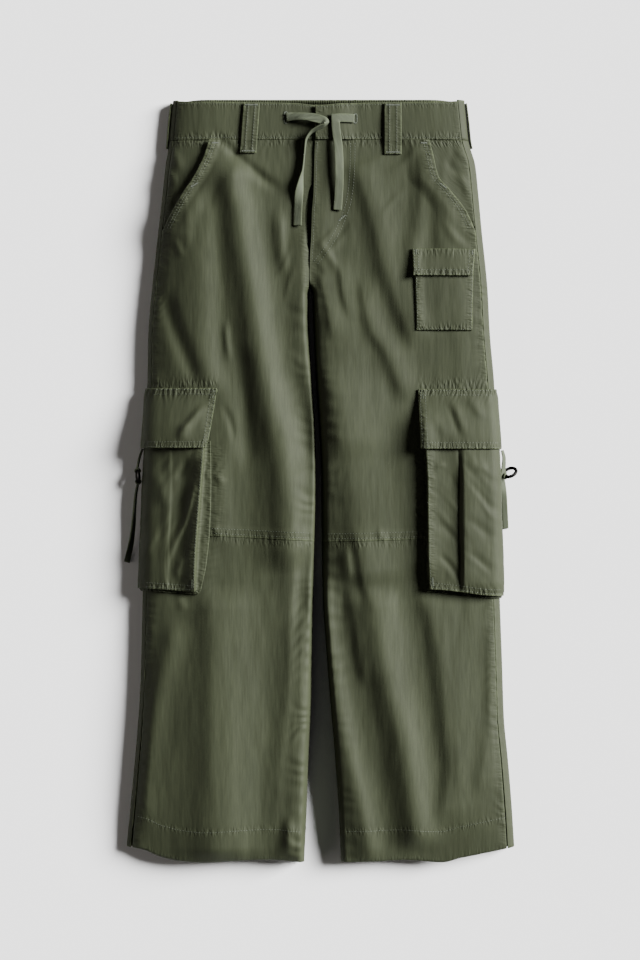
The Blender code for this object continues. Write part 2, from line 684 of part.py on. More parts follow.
def band_back():
    """The elasticated back waistband, ribbed on its inner face where it lies on the floor."""
    levels = np.array([0.0, WAIST_SEAM / 2, WAIST_SEAM - GAP / 2])
    rows = []
    for level in levels:
        pieces = []
        for side in ("right", "left"):
            inset = SEAM_INSET[side] - BAND_GAP
            seam_turn = np.degrees(np.arccos(1 - inset / SHOULDER[side]))
            before = np.degrees(np.arccos(1 - (inset - SEAM_STEP) / SHOULDER[side]))
            angles = np.array([-60.0, -30.0, 0.0, before * 0.6, before, seam_turn])
            up, out = np.sin(np.radians(angles)), np.cos(np.radians(angles))
            width = np.where(angles > 0, SHOULDER[side], UNDER)
            across = SIGN[side] * (side_edge(side, level) - width * (1 - out))
            rim = through(HEIGHT, 2, level)
            height = np.where(angles > 0, top(side, across, level), rim * (1 + up))
            turned = points(across, level, height)
            pieces.append(turned[::-1] if side == "right" else turned)
        ends = [SIGN[side] * (side_edge(side, level) - UNDER) for side in ("right", "left")]
        ribs = points(np.linspace(*ends, 2 * RIBS + 1), level, 0.0)
        rows.append(np.concatenate([pieces[0], ribs, pieces[1]]))
    turns = len(pieces[0])
    wave = np.where(np.arange(2 * RIBS + 1) % 2 == 0, 1.0, RIB_THIN)
    thin = np.concatenate([np.ones(turns), wave, np.ones(turns)])
    return sheet("waistband_back", np.array(rows), BAND, facing=(0.0, 0.0, -1.0), thin=thin)


def belt_loop_front(side):
    loop = FRONT_LOOPS[side]
    step = np.linspace(0.0, 1.0, 9)[:, None]
    middle = loop["across"][0] + step * (loop["across"][1] - loop["across"][0])
    across = middle + loop["width"] * np.linspace(-0.5, 0.5, 4)
    down = np.broadcast_to(loop["levels"][0] + step * (loop["levels"][1] - loop["levels"][0]),
                           across.shape)
    on_band = 0.8 * ease((WAIST_SEAM + 6 - down) / 6)
    bow = 0.8 * np.sin(pi * step)
    height = top(side, across, down) + on_band + bow + LOOP + LOOP_CLEAR[side]
    return sheet(f"belt_loop_front_{side}", points(across, down, height), LOOP)


def belt_loop_side(side):
    """A side belt loop, seen edge-on: it stands off the band's side."""
    step = np.linspace(0.0, 1.0, 9)[:, None]
    down = SIDE_LOOP_LEVELS[0] + step * (SIDE_LOOP_LEVELS[1] - SIDE_LOOP_LEVELS[0])
    angle = np.array(SIDE_LOOP_TURN)[None, :]
    lift = LOOP + 0.9 + SIDE_LOOP_BOW[side] * np.sin(pi * step) ** 0.7
    down, angle, lift = np.broadcast_arrays(down, angle, lift)
    return sheet(f"belt_loop_side_{side}", round_side(side, down, angle, lift), LOOP,
                 facing=(SIGN[side], 0.0, 0.0))


def pocket_lift(side, down):
    """How far a cargo pocket's face stands over the leg along its front edge."""
    return POCKET_LIFT[side] * (0.93 + 0.1 * np.sin(pi * np.clip((down - 380) / 170, 0, 1)))


def pocket_bottom(side, part):
    first, last = POCKET_BOTTOM[side]
    return first + ease(part) * (last - first)


def pocket_grid(side):
    """A cargo pocket's face: rows from its mouth to its bottom, columns from its front edge
    over its pleat and round the leg's side."""
    table = POCKET[side]
    around = np.array(POCKET_TURN)
    before, after = np.linspace(0.0, 1.0, 4), np.linspace(0.0, 1.0, 3)
    rows = []
    for step in np.linspace(0.0, 1.0, 9):
        level = POCKET_MOUTH + step * (pocket_bottom(side, 0.5) - POCKET_MOUTH)
        front, pleat, stand = (through(table, c, level) for c in (1, 3, 4))
        shoulder = side_edge(side, level) - SHOULDER[side]
        across = np.concatenate([
            front + (pleat - 7.0 - front) * before,
            [pleat - 2.6, pleat],
            pleat + (shoulder - pleat) * after[1:],
        ])
        groove = np.zeros(len(across))
        groove[len(before)] = PLEAT_DEPTH[side]
        part = (across - front) / (side_edge(side, level) - front)
        down = level + step * (pocket_bottom(side, part) - pocket_bottom(side, 0.5))
        stepped = PANEL_STEP[side] * ease((down - STEP_START) / STEP_LENGTH) * ease(3 * (1 - step))
        groove -= stepped * (across >= pleat) * (
            1 - ease((across - shoulder + STEP_WIDTH) / STEP_WIDTH))
        lifted = pocket_lift(side, down) * (1 - 0.15 * ease((across - pleat) / (shoulder - pleat)))
        signed = SIGN[side] * across
        flat = points(signed, down, top(side, signed, down) + lifted - groove)
        full = pocket_lift(side, level) * 0.85
        up = np.sin(np.radians(around))
        lift = np.where(around > 0, stand + (full - stand) * up,
                        stand + (CLOTH + 0.5 - stand) * around / POCKET_TURN[-1])
        edge_down = level + step * (pocket_bottom(side, 1.0) - pocket_bottom(side, 0.5))
        turned = round_side(side, np.full(len(around), edge_down), around, lift)
        rows.append(np.concatenate([flat, turned]))
    return np.array(rows)


def cargo_pocket(side):
    return sheet(f"cargo_pocket_{side}", pocket_grid(side), CLOTH, facing=(SIGN[side] * 0.3, 0, 1))


def cargo_gusset(side):
    """The gusset under the face's front edge and bottom, from just below the face down to the
    leg."""
    face = pocket_grid(side)
    table = POCKET[side]
    drop = np.array([0.0, 0.0, CLOTH + GAP])
    upper, lower = [], []
    for row in face[:-1]:
        down = LENGTH / 2 - row[0, 1]
        across = SIGN[side] * through(table, 2, down)
        upper.append(row[0] - drop)
        lower.append([across, row[0, 1], top(side, across, down) + POCKET_SEAT])
    last = face[-1]
    flat = len(last) - len(POCKET_TURN)
    for i, point in enumerate(last):
        down = LENGTH / 2 - point[1] + 3.0
        if i < flat:
            across = point[0] - SIGN[side] * (4.0 if i == 0 else 0.0)
            upper.append(point - drop * 1.6)
            lower.append([across, LENGTH / 2 - down, top(side, across, down) + POCKET_SEAT])
        else:
            angle = POCKET_TURN[i - flat]
            seat = round_side(side, down, np.float64(angle), POCKET_SEAT - 0.4)
            skin = round_side(side, down - 3.0, np.float64(angle), 0.0)
            out = point - skin
            shorter = out * (1 - (CLOTH + GAP) / np.linalg.norm(out))
            if np.linalg.norm(shorter) < POCKET_SEAT:
                break
            upper.append(skin + shorter)
            lower.append(seat)
    upper, lower = np.array(upper), np.array(lower)
    middle = (upper + lower) / 2
    grid = np.stack([upper, middle, lower], axis=1)
    return sheet(f"cargo_gusset_{side}", grid, CLOTH, facing=(-SIGN[side], -1.0, 0.2))


def cargo_flap(side):
    table = CARGO_FLAP[side]
    around = np.array(FLAP_TURN)
    rows = []
    for level, front, full in table:
        shoulder = side_edge(side, level) - SHOULDER[side]
        across = front + (shoulder - front) * np.array([0.0, 0.07, 0.25, 0.45, 0.65, 0.82, 1.0])
        droop = 0.84 + 0.16 * ease((across - front) / 6)
        signed = SIGN[side] * across
        lift = np.maximum(full * droop, FLAP + 0.6)
        flat = points(signed, level, top(side, signed, level) + lift)
        up = np.sin(np.radians(around))
        stand = min(FLAP_SIDE, full)
        wrap = np.where(around > 0, stand + (full - stand) * up, stand)
        turned = round_side(side, np.full(len(around), level), around, wrap)
        rows.append(np.concatenate([flat, turned]))
    return sheet(f"cargo_flap_{side}", np.array(rows), FLAP, facing=(SIGN[side] * 0.3, 0, 1))


def patch(name, shape, lifts, bulge, wall, rows, columns):
    """A patch on the left front: lifts are its outer skin's at its top and bottom, and it
    bulges between its edges."""
    step = np.linspace(0.0, 1.0, rows)[:, None]
    part = np.linspace(0.0, 1.0, columns)[None, :]
    inner = shape["inner"][0] + step * (shape["inner"][1] - shape["inner"][0])
    outer = shape["outer"][0] + step * (shape["outer"][1] - shape["outer"][0])
    across = inner + part * (outer - inner)
    down = shape["levels"][0] + step * (shape["levels"][1] - shape["levels"][0])
    lift = lifts[0] + step * (lifts[1] - lifts[0])
    lift = lift + bulge * np.sin(pi * part) ** 0.5 * np.sin(pi * (0.15 + 0.85 * step)) ** 0.5
    height = top("left", across, down) + lift
    return sheet(name, points(across, np.broadcast_to(down, across.shape), height), wall)


def tape(name, route, width, count, over=None):
    """A flat tape along a route, its width leaning out of the surface by the route's last
    column. Over gives the surface that heights are measured from, or none."""
    steps = np.concatenate([[0.0], np.cumsum(np.hypot(*np.diff(route[:, :2], axis=0).T))])
    table = np.column_stack([steps, route])
    at = np.linspace(0.0, steps[-1], count)
    across, down, height, lean = (through(table, c, at) for c in (1, 2, 3, 4))
    if over is not None:
        height = height + over(across, down)
    middle = points(across, down, height)
    ahead = np.gradient(middle, axis=0)
    ahead[:, 2] = 0.0
    ahead /= np.linalg.norm(ahead, axis=1)[:, None]
    level = np.column_stack([ahead[:, 1], -ahead[:, 0], np.zeros(count)])
    lean = np.radians(lean)[:, None]
    wide = level * np.cos(lean) + np.array([0.0, 0.0, 1.0]) * np.sin(lean)
    rise = np.array([0.0, 0.0, 0.5]) * width * np.sin(lean)
    grid = middle[:, None] + rise[:, None] + wide[:, None] * width * np.linspace(-0.5, 0.5, 3)[
        None, :, None]
    return sheet(name, grid, TAPE, TAPE_OLIVE)


def drawstring(side):
    """A drawstring's free end, from its buttonhole over the waistband and down the front."""
    def over(across, down):
        return top(side, across, down)
    return tape(f"drawstring_{side}", DRAWSTRINGS[side], DRAWSTRING_WIDTH, 22, over)


def ring_row(side, angle):
    """A tape's row where it meets the ring from outside, a gap off its wire."""
    shape = RINGS[side]
    reach = shape["across"] / 2 + GAP
    turns = Euler((0.0, radians(shape["turns"][0]), radians(shape["turns"][1])))
    off = turns.to_matrix() @ Vector((reach * cos(radians(angle)), reach * sin(radians(angle)), 0))
    across, down, height = shape["centre"]
    lean = RING_LEAN[side]
    settle = TAPE / 2 * cos(radians(lean)) - TIE_WIDTH / 2 * sin(radians(lean))
    return (across + off.x, down - off.y, height + off.z + settle, lean)


def ring(side):
    shape = RINGS[side]
    across, down, height = shape["centre"]
    bpy.ops.mesh.primitive_torus_add(
        major_radius=(shape["across"] - RING_WIRE) / 2 * MM,
        minor_radius=RING_WIRE / 2 * MM,
        major_segments=18,
        minor_segments=7,
        location=(across * MM, (LENGTH / 2 - down) * MM, height * MM),
        rotation=(0.0, radians(shape["turns"][0]), radians(shape["turns"][1])),
    )
    made = bpy.context.object
    made.name = f"pocket_ring_{side}"
    made.data.shade_smooth()
    made.data.materials.append(material("ring_metal", DARK_METAL, 0.35, 1.0))
    for collection in list(made.users_collection):
        collection.objects.unlink(made)
    bpy.data.collections["cargo_trousers"].objects.link(made)


def pocket_tie(side):
    """The ring at a cargo pocket, the tab that holds it and the tape that hangs from it."""
    ring(side)
    shape = RINGS[side]
    tab = np.array([*TABS[side], ring_row(side, shape["tab"])])
    tie = np.array([ring_row(side, shape["tie"]), *TIES[side]])
    tape(f"pocket_tab_{side}", tab, TIE_WIDTH, 5)
    tape(f"pocket_tape_{side}", tie, TIE_WIDTH, 12)


def build():
    for old in list(bpy.data.objects):
        bpy.data.objects.remove(old)
    bpy.context.scene.collection.children.link(bpy.data.collections.new("cargo_trousers"))
    for side in ("right", "left"):
        back(side)
        front_upper(side)
        front_lower(side)
        hip_facing(side)
        band_front(side)
        belt_loop_front(side)
        belt_loop_side(side)
        cargo_pocket(side)
        cargo_gusset(side)
        cargo_flap(side)
        drawstring(side)
        pocket_tie(side)
    fly_shield()
    band_back()
    patch("coin_pocket", COIN_POCKET, (2.0, 2.0), 3.0, CLOTH, 8, 7)
    patch("coin_flap", COIN_FLAP, (2.6, 7.8), 0.4, FLAP, 4, 7)


build()
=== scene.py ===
"""The looks of olive cargo trousers laid flat: cloth skins, sewing, tapes, rings and light.

World frame: metres, +Z up, +Y towards the waist, +X towards the wearer's left. The functions
work in millimetres: "across" is +X from the centre line, "down" is the distance below the
waist's top edge, "lift" is the distance out of the cloth.

A leg's top is worked out as
    height = rim + (crown - rim) * rise(from side) * rise(from inseam) + folds + relief
where rise is a quarter ellipse at the turn plus a wider dome, a fold is a ridge with a reach
of its own on each side of its crest, and relief is the crumpling and the puckers at seams.
"""

from functools import partial
from math import cos, pi, radians, sin

import bpy
import numpy as np
from mathutils import Euler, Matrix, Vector


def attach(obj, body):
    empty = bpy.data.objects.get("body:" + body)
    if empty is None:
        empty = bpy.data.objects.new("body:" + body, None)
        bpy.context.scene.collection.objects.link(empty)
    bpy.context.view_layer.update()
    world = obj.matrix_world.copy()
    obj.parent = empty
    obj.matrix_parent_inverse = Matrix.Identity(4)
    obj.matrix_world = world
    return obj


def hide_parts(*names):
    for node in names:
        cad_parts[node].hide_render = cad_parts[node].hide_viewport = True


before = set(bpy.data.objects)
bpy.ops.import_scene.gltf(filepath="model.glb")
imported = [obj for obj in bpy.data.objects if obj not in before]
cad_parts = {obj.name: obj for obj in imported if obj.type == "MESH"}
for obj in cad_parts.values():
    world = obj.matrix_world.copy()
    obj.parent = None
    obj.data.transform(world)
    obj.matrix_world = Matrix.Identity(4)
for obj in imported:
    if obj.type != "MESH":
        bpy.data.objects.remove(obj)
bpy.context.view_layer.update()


def table(*rows):
    """Rows of numbers, the first of each being where it stands on the curves through them."""
    return np.array(rows, float)


SIDES = ("right", "left")  # the wearer's
SIGN = {"right": -1.0, "left": 1.0}
COLUMN = {"right": 1, "left": 2}  # in a table that has a column for each side
SEED = {"right": 0, "left": 20}  # keeps the noise of the two sides apart

MM = 0.001
LENGTH = 838.0  # waist's top edge to hem
CLOTH = 1.0  # one layer of cotton with its seam allowance
BAND = 3.0  # waistband, folded double over its interlining
FLAP = 1.8  # pocket flaps, two layers pressed together
LOOP = 1.7  # belt loops
TAPE = 1.1  # woven tape
GAP = 0.16  # between pieces that meet at a seam
BAND_GAP = 0.2  # either side of the seam between front and back waistbands
INSEAM_GAP = 0.5  # between the edges of front and back at the inseam, one over the other

WAIST_SEAM = 43.0
KNEE_SEAM = 480.0
CROTCH = 210.0
CROTCH_ROUND = 14.0  # how far above the crotch the layers start to close
HEM_BAND = 35.0  # hem's edge to its stitching

SHOULDER = {"right": 16.0, "left": 10.0}  # width of the turn from a leg's side to its top
UNDER = 9.0  # width of the turn from a leg's side down to the floor
INNER_TURN = 12.0  # width of the finely divided strip at the inseam
TURN_COLUMNS = (0.15, 0.3, 0.45, 0.6, 0.72, 0.83, 0.92, 1.0)  # of the grid, in that strip
# Each leg's top leans: beyond the turn it goes on rising in a wide dome, but only at the edge
# towards the wearer's right. Share of the rise that is in the turn, then the dome's width.
SIDE_RISE = {"right": (0.4, 56.0), "left": (0.72, 42.0)}
INNER_DOME = 40.0
# At the inseam: down, each turn's width, and the share of each leg's rise that is in it.
INNER_RISE = table(  # down, right, left, right, left
    (210, 6, 5, 1, 1), (245, 6, 6, 1, 0.95), (310, 2.5, 6, 1, 0.93), (420, 2.5, 7, 1, 0.9),
    (480, 2.5, 8, 1, 0.8), (545, 5, 6, 1, 0.95), (838, 6, 5, 1, 0.95),
)
SEAM_INSET = {"right": 5.0, "left": 8.0}  # side seams show on the front

# One row for each level: down, then how far each outer edge lies from the centre line.
SIDE_EDGE = table(  # down, right, left
    (0, 163, 159), (20, 165, 161), (43, 167, 163.5), (70, 171, 171), (98, 174, 174),
    (142, 179, 178), (207, 186, 184.5), (255, 190, 187), (315, 191, 192), (380, 192.5, 194.5),
    (480, 195, 196), (549, 196.5, 198), (619, 198, 200.5), (681, 201, 202.5), (728, 204.5, 206.5),
    (782, 209, 210.5), (838, 214, 214),
)

# One row for each level: down, then where each half's inner edge runs across. Above the
# crotch it is the front's closing line, which gapes beside the fly, and below it the inseam.
INNER_EDGE = table(  # down, right, left
    (43, -6.6, -6.2), (85, -7.6, -7.2), (100, -13, -7.6), (125, -17, -9.5), (150, -16.5, -10.2),
    (172, -12.2, -11.4), (200, -12.8, -12), (210, -13, -9), (232, -13.2, -8.4), (260, -12.2, -7.4),
    (307, -9.6, -5.2), (362, -6, -1.6), (417, -5, 0.8), (505, -7, 1.6), (549, -7.8, 2.6),
    (593, -8.8, 5.6), (659, -10.2, 10.6), (725, -13.2, 16.2), (783, -15.4, 20.2), (838, -18, 22.6),
)
CENTRE_BACK = -11.5  # across, where the two backs meet above the crotch

# One row for each level: down, height of the top layer, height of the sides' widest point.
HEIGHT = table(  # down, crown, rim
    (0, 21.5, 8), (43, 23.5, 8.5), (90, 27.5, 9), (210, 27.5, 9.5), (480, 27.5, 9.5),
    (700, 28, 9.5), (790, 25.5, 9.5), (838, 19, 8.5),
)

# Slant pocket openings: down, then how far each opening's edge lies from the centre line.
HIP_OPENING = table(  # down, right, left
    (43, 122.5, 119.5), (59, 127, 123.5), (84, 139, 129.5), (100, 150, 143), (122, 163, 160),
    (143, 174, 170),
)
OPENING_END = 143.0
FACING_UNDERLAP = 14.0

# The hem's edge: how far in from the side, as a part of the leg's width, then down.
HEM = table(  # part, right, left
    (0, 821, 821), (0.09, 824, 824.5), (0.18, 831, 828), (0.31, 836.5, 833), (0.42, 838, 838),
    (0.62, 836, 835.5), (0.8, 835, 837), (1, 838, 838),
)

# Top edge of the front waistbands: across, down.
BAND_TOP = table(  # across, down
    (-170, -1.6), (-140, 0.6), (-30, 2.4), (0, 5), (22, 3.2), (60, 1.8), (140, 0.6), (170, -1.6),
)

# A fold is a ridge along a path of (across, down) points, listed downwards. Each row gives its
# height and its reach to the wearer's right and to the left of its crest, as one number or as
# one for its top and one for its bottom, and then the path. A trough's height is negative.
FADE = 30.0  # length of a fold's tapered ends
# The leg's own folds die away towards its edges: where they start, and over how far they grow.
CALM = {"side": (3, 16), "inseam": (0, 4), "waist": (20, 40), "hem": (-40, 60)}
LEG_FOLDS = (  # height, right, left, path
    # right leg, waist to knee
    (-2.6, (5, 6), (5, 6), (-126, 24), (-110, 42), (-93, 60), (-68, 82), (-38, 104)),
    ((4, 6), 30, 18, (-135, 95), (-131, 208), (-130, 274), (-118, 330)),
    ((9, 10.8), (16, 27), (17, 22), (-100, 56), (-97, 98), (-92, 120), (-86, 164), (-78, 208),
     (-72, 252), (-64, 296), (-54, 340), (-44, 374), (-37, 428), (-34, 460), (-32, 520)),
    ((4, 1.5), (14, 16), 6, (-19, 130), (-20, 200), (-19, 252), (-17, 300), (-16, 330)),
    ((-2.4, -1.5), (20, 18), (11, 10), (-28, 282), (-26, 311), (-20, 362), (-14, 404)),
    (-1.8, 16, 6, (-16, 330), (-13, 390), (-12, 450), (-14, 530)),
    (-2.2, 9, 9, (-88, 262), (-84, 311), (-80, 362), (-78, 410)),
    ((2.6, 3), 20, 16, (-110, 300), (-104, 362), (-110, 417), (-112, 500)),
    (3, 8, 6, (-46, 112), (-44, 150), (-40, 196)),
    (-5, (12, 14), 13, (-141, 385), (-150, 440), (-154, 500), (-152, 560)),
    (-3.5, 9, 9, (-174, 205), (-159, 252), (-150, 274), (-132, 322)),
    (2, 4, 4, (-104, 236), (-103, 262), (-100, 292)),
    # left leg, waist to knee
    ((4, 5), 12, 20, (37, 62), (57, 120), (73, 186), (89, 230), (108, 276)),
    ((3, 4), (7, 10), 16, (44, 190), (57, 252), (72, 274), (98, 336)),
    ((2.6, 2.4), 5, 14, (-4, 172), (4, 208), (9, 230), (16, 272)),
    (2.5, 5, 12, (23, 168), (25, 208), (36, 246)),
    ((1.7, 2.2), (9, 10), 11, (111, 40), (115, 76), (110, 120), (102, 176)),
    ((2.2, 2.6), 10, 14, (126, 70), (129, 98), (132, 142), (138, 180)),
    ((3, 2), 6, 30, (3, 280), (7, 330), (10, 400), (12, 450)),
    ((4.2, 9), (24, 36), 42, (20, 296), (34, 384), (46, 472), (56, 545)),
    (5, (14, 16), 46, (6, 214), (10, 262), (14, 320), (24, 400)),
    (4, 26, 12, (111, 330), (113, 400), (114, 470), (116, 530)),
    (2.5, 13, 8, (101, 140), (104, 200), (106, 262)),
    (3, 7, 20, (38, 462), (43, 494), (47, 521), (62, 565)),
    (2.5, 9, 5, (26, 482), (33, 532)),
    # right leg, knee to hem
    ((4, 1), (20, 12), (7, 8), (-28, 488), (-34, 560), (-37, 640), (-44, 714), (-56, 825)),
    ((2.5, 8), (10, 30), 8, (-18, 550), (-22, 615), (-23, 700), (-24, 850)),
    ((7, 14), (18, 40), 42, (-118, 530), (-116, 600), (-114, 714), (-112, 850)),
    ((3, 2.5), (10, 12), 14, (-156, 566), (-170, 615), (-186, 681), (-202, 800)),
    (3, 6, 6, (-34, 780), (-36, 834)),
    # left leg, knee to hem
    ((5, 5.5), (12, 16), (11, 14), (-2, 516), (1, 549), (6, 593), (18, 659), (31, 725), (42, 769),
     (58, 850)),
    ((8, 9.5), (20, 18), (21, 19), (57, 530), (65, 582), (74, 640), (91, 714), (110, 830)),
    (3, 8, 22, (33, 524), (42, 590), (53, 650)),
    ((4, 5), 12, 25, (112, 530), (126, 582), (135, 640), (144, 720), (132, 805)),
    (2, 8, 15, (191, 566), (187, 681), (174, 770)),
)

# Short creases beside pockets, fly and seams.
LEG_CREASES = (
    (1.2, 3, 4, (-118, 408), (-104, 424)),
    (1, 3, 4, (-121, 462), (-108, 484)),
    (-1.4, 4, 4, (-108, 330), (-98, 356), (-94, 380)),
    (1.6, 5, 4, (-5, 150), (14, 178), (22, 196)),
    (-1.2, 3, 4, (-8, 176), (2, 196)),
    (0.9, 4, 6, (118, 44), (103, 56), (90, 70), (66, 84)),
    (0.9, 4, 8, (80, 60), (50, 70), (20, 80)),
    (0.7, 3, 4, (96, 96), (78, 112), (64, 132)),
    (1, 3, 4, (22, 134), (8, 150), (-6, 164)),
    (0.9, 3, 4, (28, 146), (14, 162), (0, 176)),
    (-0.8, 3, 4, (34, 128), (24, 142), (14, 152)),
    (0.8, 4, 5, (-150, 108), (-145, 140), (-148, 176)),
    (0.8, 3, 4, (-30, 150), (-38, 178), (-52, 200)),
    (0.7, 3, 4, (-26, 176), (-36, 206), (-40, 226)),
    (1.5, 5, 6, (-170, 46), (-160, 62), (-151, 82)),
    (1.3, 5, 5, (-174, 70), (-164, 84), (-156, 96)),
    (-1, 4, 5, (-166, 98), (-160, 110), (-162, 126)),
    (-1, 4, 5, (136, 62), (146, 76), (158, 84)),
    (1.1, 4, 5, (148, 52), (158, 63), (168, 70)),
    (1.5, 5, 5, (150, 78), (158, 92), (166, 110)),
    (-0.8, 4, 6, (136, 128), (155, 150), (172, 160)),
    (0.9, 5, 6, (130, 124), (146, 150), (166, 172)),
    (1.2, 4, 4, (-162, 150), (-150, 176)),
    (1.2, 5, 5, (-158, 540), (-148, 562)),
    (1.2, 4, 5, (60, 470), (72, 486)),
    (-1, 4, 5, (-20, 448), (-26, 476)),
)

# Cargo pockets: level, front edge of the face, outer edge of the gusset, pleat, all from the
# centre line, and how far the face stands out of the leg at the outline.
POCKET = {
    "right": table(  # down, face, gusset, pleat, side
        (374, 126.5, 120.5, 165, 1.6), (420, 130.4, 119.6, 165.5, 3.2),
        (464, 133.9, 120.6, 166.5, 4.2), (506, 136.8, 124.5, 171, 5), (538, 137.5, 131, 169, 5.5),
    ),
    "left": table(  # down, face, gusset, pleat, side
        (374, 114.5, 113.6, 152.4, 1.6), (420, 117, 115.6, 154.2, 2.2),
        (464, 117.4, 116, 153.4, 2.6), (506, 118, 116.6, 155.4, 4.4),
        (544, 119.6, 118.2, 154.6, 3.6),
    ),
}
POCKET_MOUTH = 374.0
# The small creases in the cargo pockets, stronger in some patches than in others.
SLANT = {"lean": radians(38.0), "height": 0.5, "size": (5.5, 26.0), "patches": (26.0, 26.0)}
POCKET_BOTTOM = {"right": (539.0, 536.0), "left": (536.5, 544.0)}  # down, front to side
POCKET_LIFT = {"right": 10.2, "left": 10.9}
PLEAT_DEPTH = {"right": 0.3, "left": 0.9}
PLEAT_WIDTH = {"right": 1.7, "left": 0.9}
PLEAT_PART = {"right": 0.76, "left": 0.58}  # of the way over the face, where its grid is finest
PANEL_STEP = {"right": 0.0, "left": 2.4}  # side panel over the front panel, at the pleat
POCKET_TILT = {"right": -0.4, "left": 0.12}  # change of its lift towards the side
SIDE_FALL = {"right": 1.0, "left": 1.7}  # how fast a pocket draws in round the leg's side
POCKET_SEAT = 2.3  # a gusset's outer skin over the leg, where it is sewn down
POCKET_WRAP = -40.0  # degrees round the leg's side
POCKET_FOLDS = {
    "right": (
        ((0.9, 1), (8, 7), 2, (-164, 360), (-165, 440), (-168, 492), (-169, 555)),
        (2.4, (6, 5), 3, (-136, 415), (-149, 464), (-160, 488), (-170, 514)),
        (-1.4, 4, 4, (-142, 392), (-150, 404), (-158, 420)),
        (1.2, 4, 3, (-176, 470), (-184, 486), (-190, 506)),
        (1.2, 4, 3, (-150, 500), (-156, 516), (-158, 528)),
        (3, 14, 9, (-126, 370), (-132, 430), (-137, 480), (-138, 550)),
        (2, 7, 6, (-181, 400), (-176, 424), (-172, 450)),
        (1, 6, 8, (-153, 492), (-158, 512), (-162, 530)),
    ),
    "left": (
        ((2.5, 3), 4, 16, (157, 366), (158, 440), (158, 545)),
        (-1.6, 4, 5, (158, 412), (176, 436), (200, 466)),
        (-1.2, 4, 6, (156, 455), (170, 466), (192, 484)),
        (-1.3, 3, 5, (158, 492), (171, 503), (190, 520)),
        (1.6, 6, 5, (160, 392), (170, 402), (184, 408)),
        (1, 3, 3, (124, 404), (130, 401), (138, 400)),
        (-1, 4, 5, (126, 460), (140, 473), (154, 488)),
        (-1.1, 3, 4, (126, 496), (140, 508), (156, 526)),
        (0.8, 3, 4, (164, 420), (180, 446), (194, 470)),
        (0.7, 3, 3, (172, 386), (178, 402), (190, 420)),
    ),
}

# Flaps: level, front edge from the centre line, lift of the outer face.
CARGO_FLAP = {
    "right": table(  # down, front, lift
        (316, 113.5, 2.4), (329, 115, 4.6), (345, 117.5, 8.2), (360, 120, 11.4), (373, 122.5, 13),
        (382, 125.5, 13.4),
    ),
    "left": table(  # down, front, lift
        (317, 107.4, 2.4), (329, 107.4, 5), (345, 107.8, 9.5), (360, 108.4, 12.6), (373, 109, 14.2),
        (383, 109.6, 14.4),
    ),
}
FLAP_SIDE = 3.7  # how far a flap stands out of the leg at the outline
FLAP_WRAP = -20.0
FLAP_FOLDS = {
    "right": (
        (2.8, 4, 5, (-123, 330), (-142, 352), (-159, 374)),
        (-1.6, 5, 5, (-118, 330), (-122, 350), (-126, 372)),
        (1.4, 7, 7, (-150, 350), (-152, 378)),
    ),
    "left": (
        (1.8, 5, 6, (144, 326), (150, 348), (157, 372)),
        (-1.4, 4, 5, (138, 330), (146, 350), (155, 376)),
        (1.4, 5, 6, (160, 322), (170, 338), (182, 352)),
        (1.2, 6, 7, (120, 340), (130, 356), (140, 374)),
    ),
}

# The patch pocket on the left hip and its flap: the inner and the outer edge's distance from
# the centre line, the levels, the lift of the outer face, each at the top and at the bottom,
# how far the middle bulges, the wall and the seed.
COIN_PATCHES = {
    "coin_pocket": {"inner": (103, 105), "outer": (168, 166.5), "levels": (184, 253),
                    "lifts": (2, 2), "bulge": 3, "wall": CLOTH, "seed": 170},
    "coin_flap": {"inner": (100.5, 101.5), "outer": (170, 167), "levels": (163, 193),
                  "lifts": (2.6, 7.8), "bulge": 0.4, "wall": FLAP, "seed": 180},
}

# Belt loops: across at the top and bottom, width, levels.
FRONT_LOOPS = {
    "right": {"across": (-75.5, -79.5), "width": 18.0, "levels": (2.5, 58.0)},
    "left": {"across": (79.5, 79.5), "width": 19.0, "levels": (2.5, 59.5)},
}
SIDE_LOOP_LEVELS = (1.0, 51.0)
SIDE_LOOP_TURN = (8.0, -28.0)
SIDE_LOOP_BOW = 0.6

# Tapes: a row for each point of the route, with the lift of its outer face over the front and
# the lean of its width out of the surface, in degrees.
DRAWSTRING_WIDTH = 9.5
DRAWSTRINGS = {
    "right": table(  # across, down, lift, lean
        (-38, 18.5, 2.6, 0), (-30, 18, 3.4, 12), (-20, 18, 5.2, 26), (-8, 19.5, 7.6, 12),
        (2, 22.5, 8.8, 0), (6.6, 25, 8, 55), (5, 28, 6.6, 75), (-2, 31.5, 5.4, 72),
        (-10, 36, 3, 78), (-15.5, 45, 0.2, 84), (-17, 60, -1.6, 86), (-18.6, 76, -1.2, 84),
        (-21.2, 90, 1.4, 56), (-23.6, 104, 3.2, 10), (-24.6, 118, 4.4, -14), (-25.4, 138, 4, -15),
    ),
    "left": table(  # across, down, lift, lean
        (37, 20, 3.6, 0), (30, 19.6, 5.2, 0), (16.4, 19.6, 7.4, 0), (16.8, 30, 7.4, 0),
        (17.8, 38, 8, 0), (19.4, 50, 8.2, 4), (20.4, 66, 8, 8), (20.6, 84, 7, 6), (20, 103, 5, 2),
        (18.6, 121, 3, 0),
    ),
}

# The ties at the cargo pockets hang from metal rings. A ring's centre is across, down, height,
# and it is turned about Y and then Z. Its tab and its tie meet it at the angles given, round
# its own plane from +X.
RINGS = {
    "right": {"centre": (-201.4, 412.8, 10.4), "across": 16.0, "turns": (84.0, 3.0),
              "tab": 90.0, "tie": -90.0},
    "left": {"centre": (209.0, 408.6, 9.4), "across": 18.0, "turns": (54.0, 115.0),
             "tab": 102.0, "tie": 74.0},
}
TIE_WIDTH = 6.5
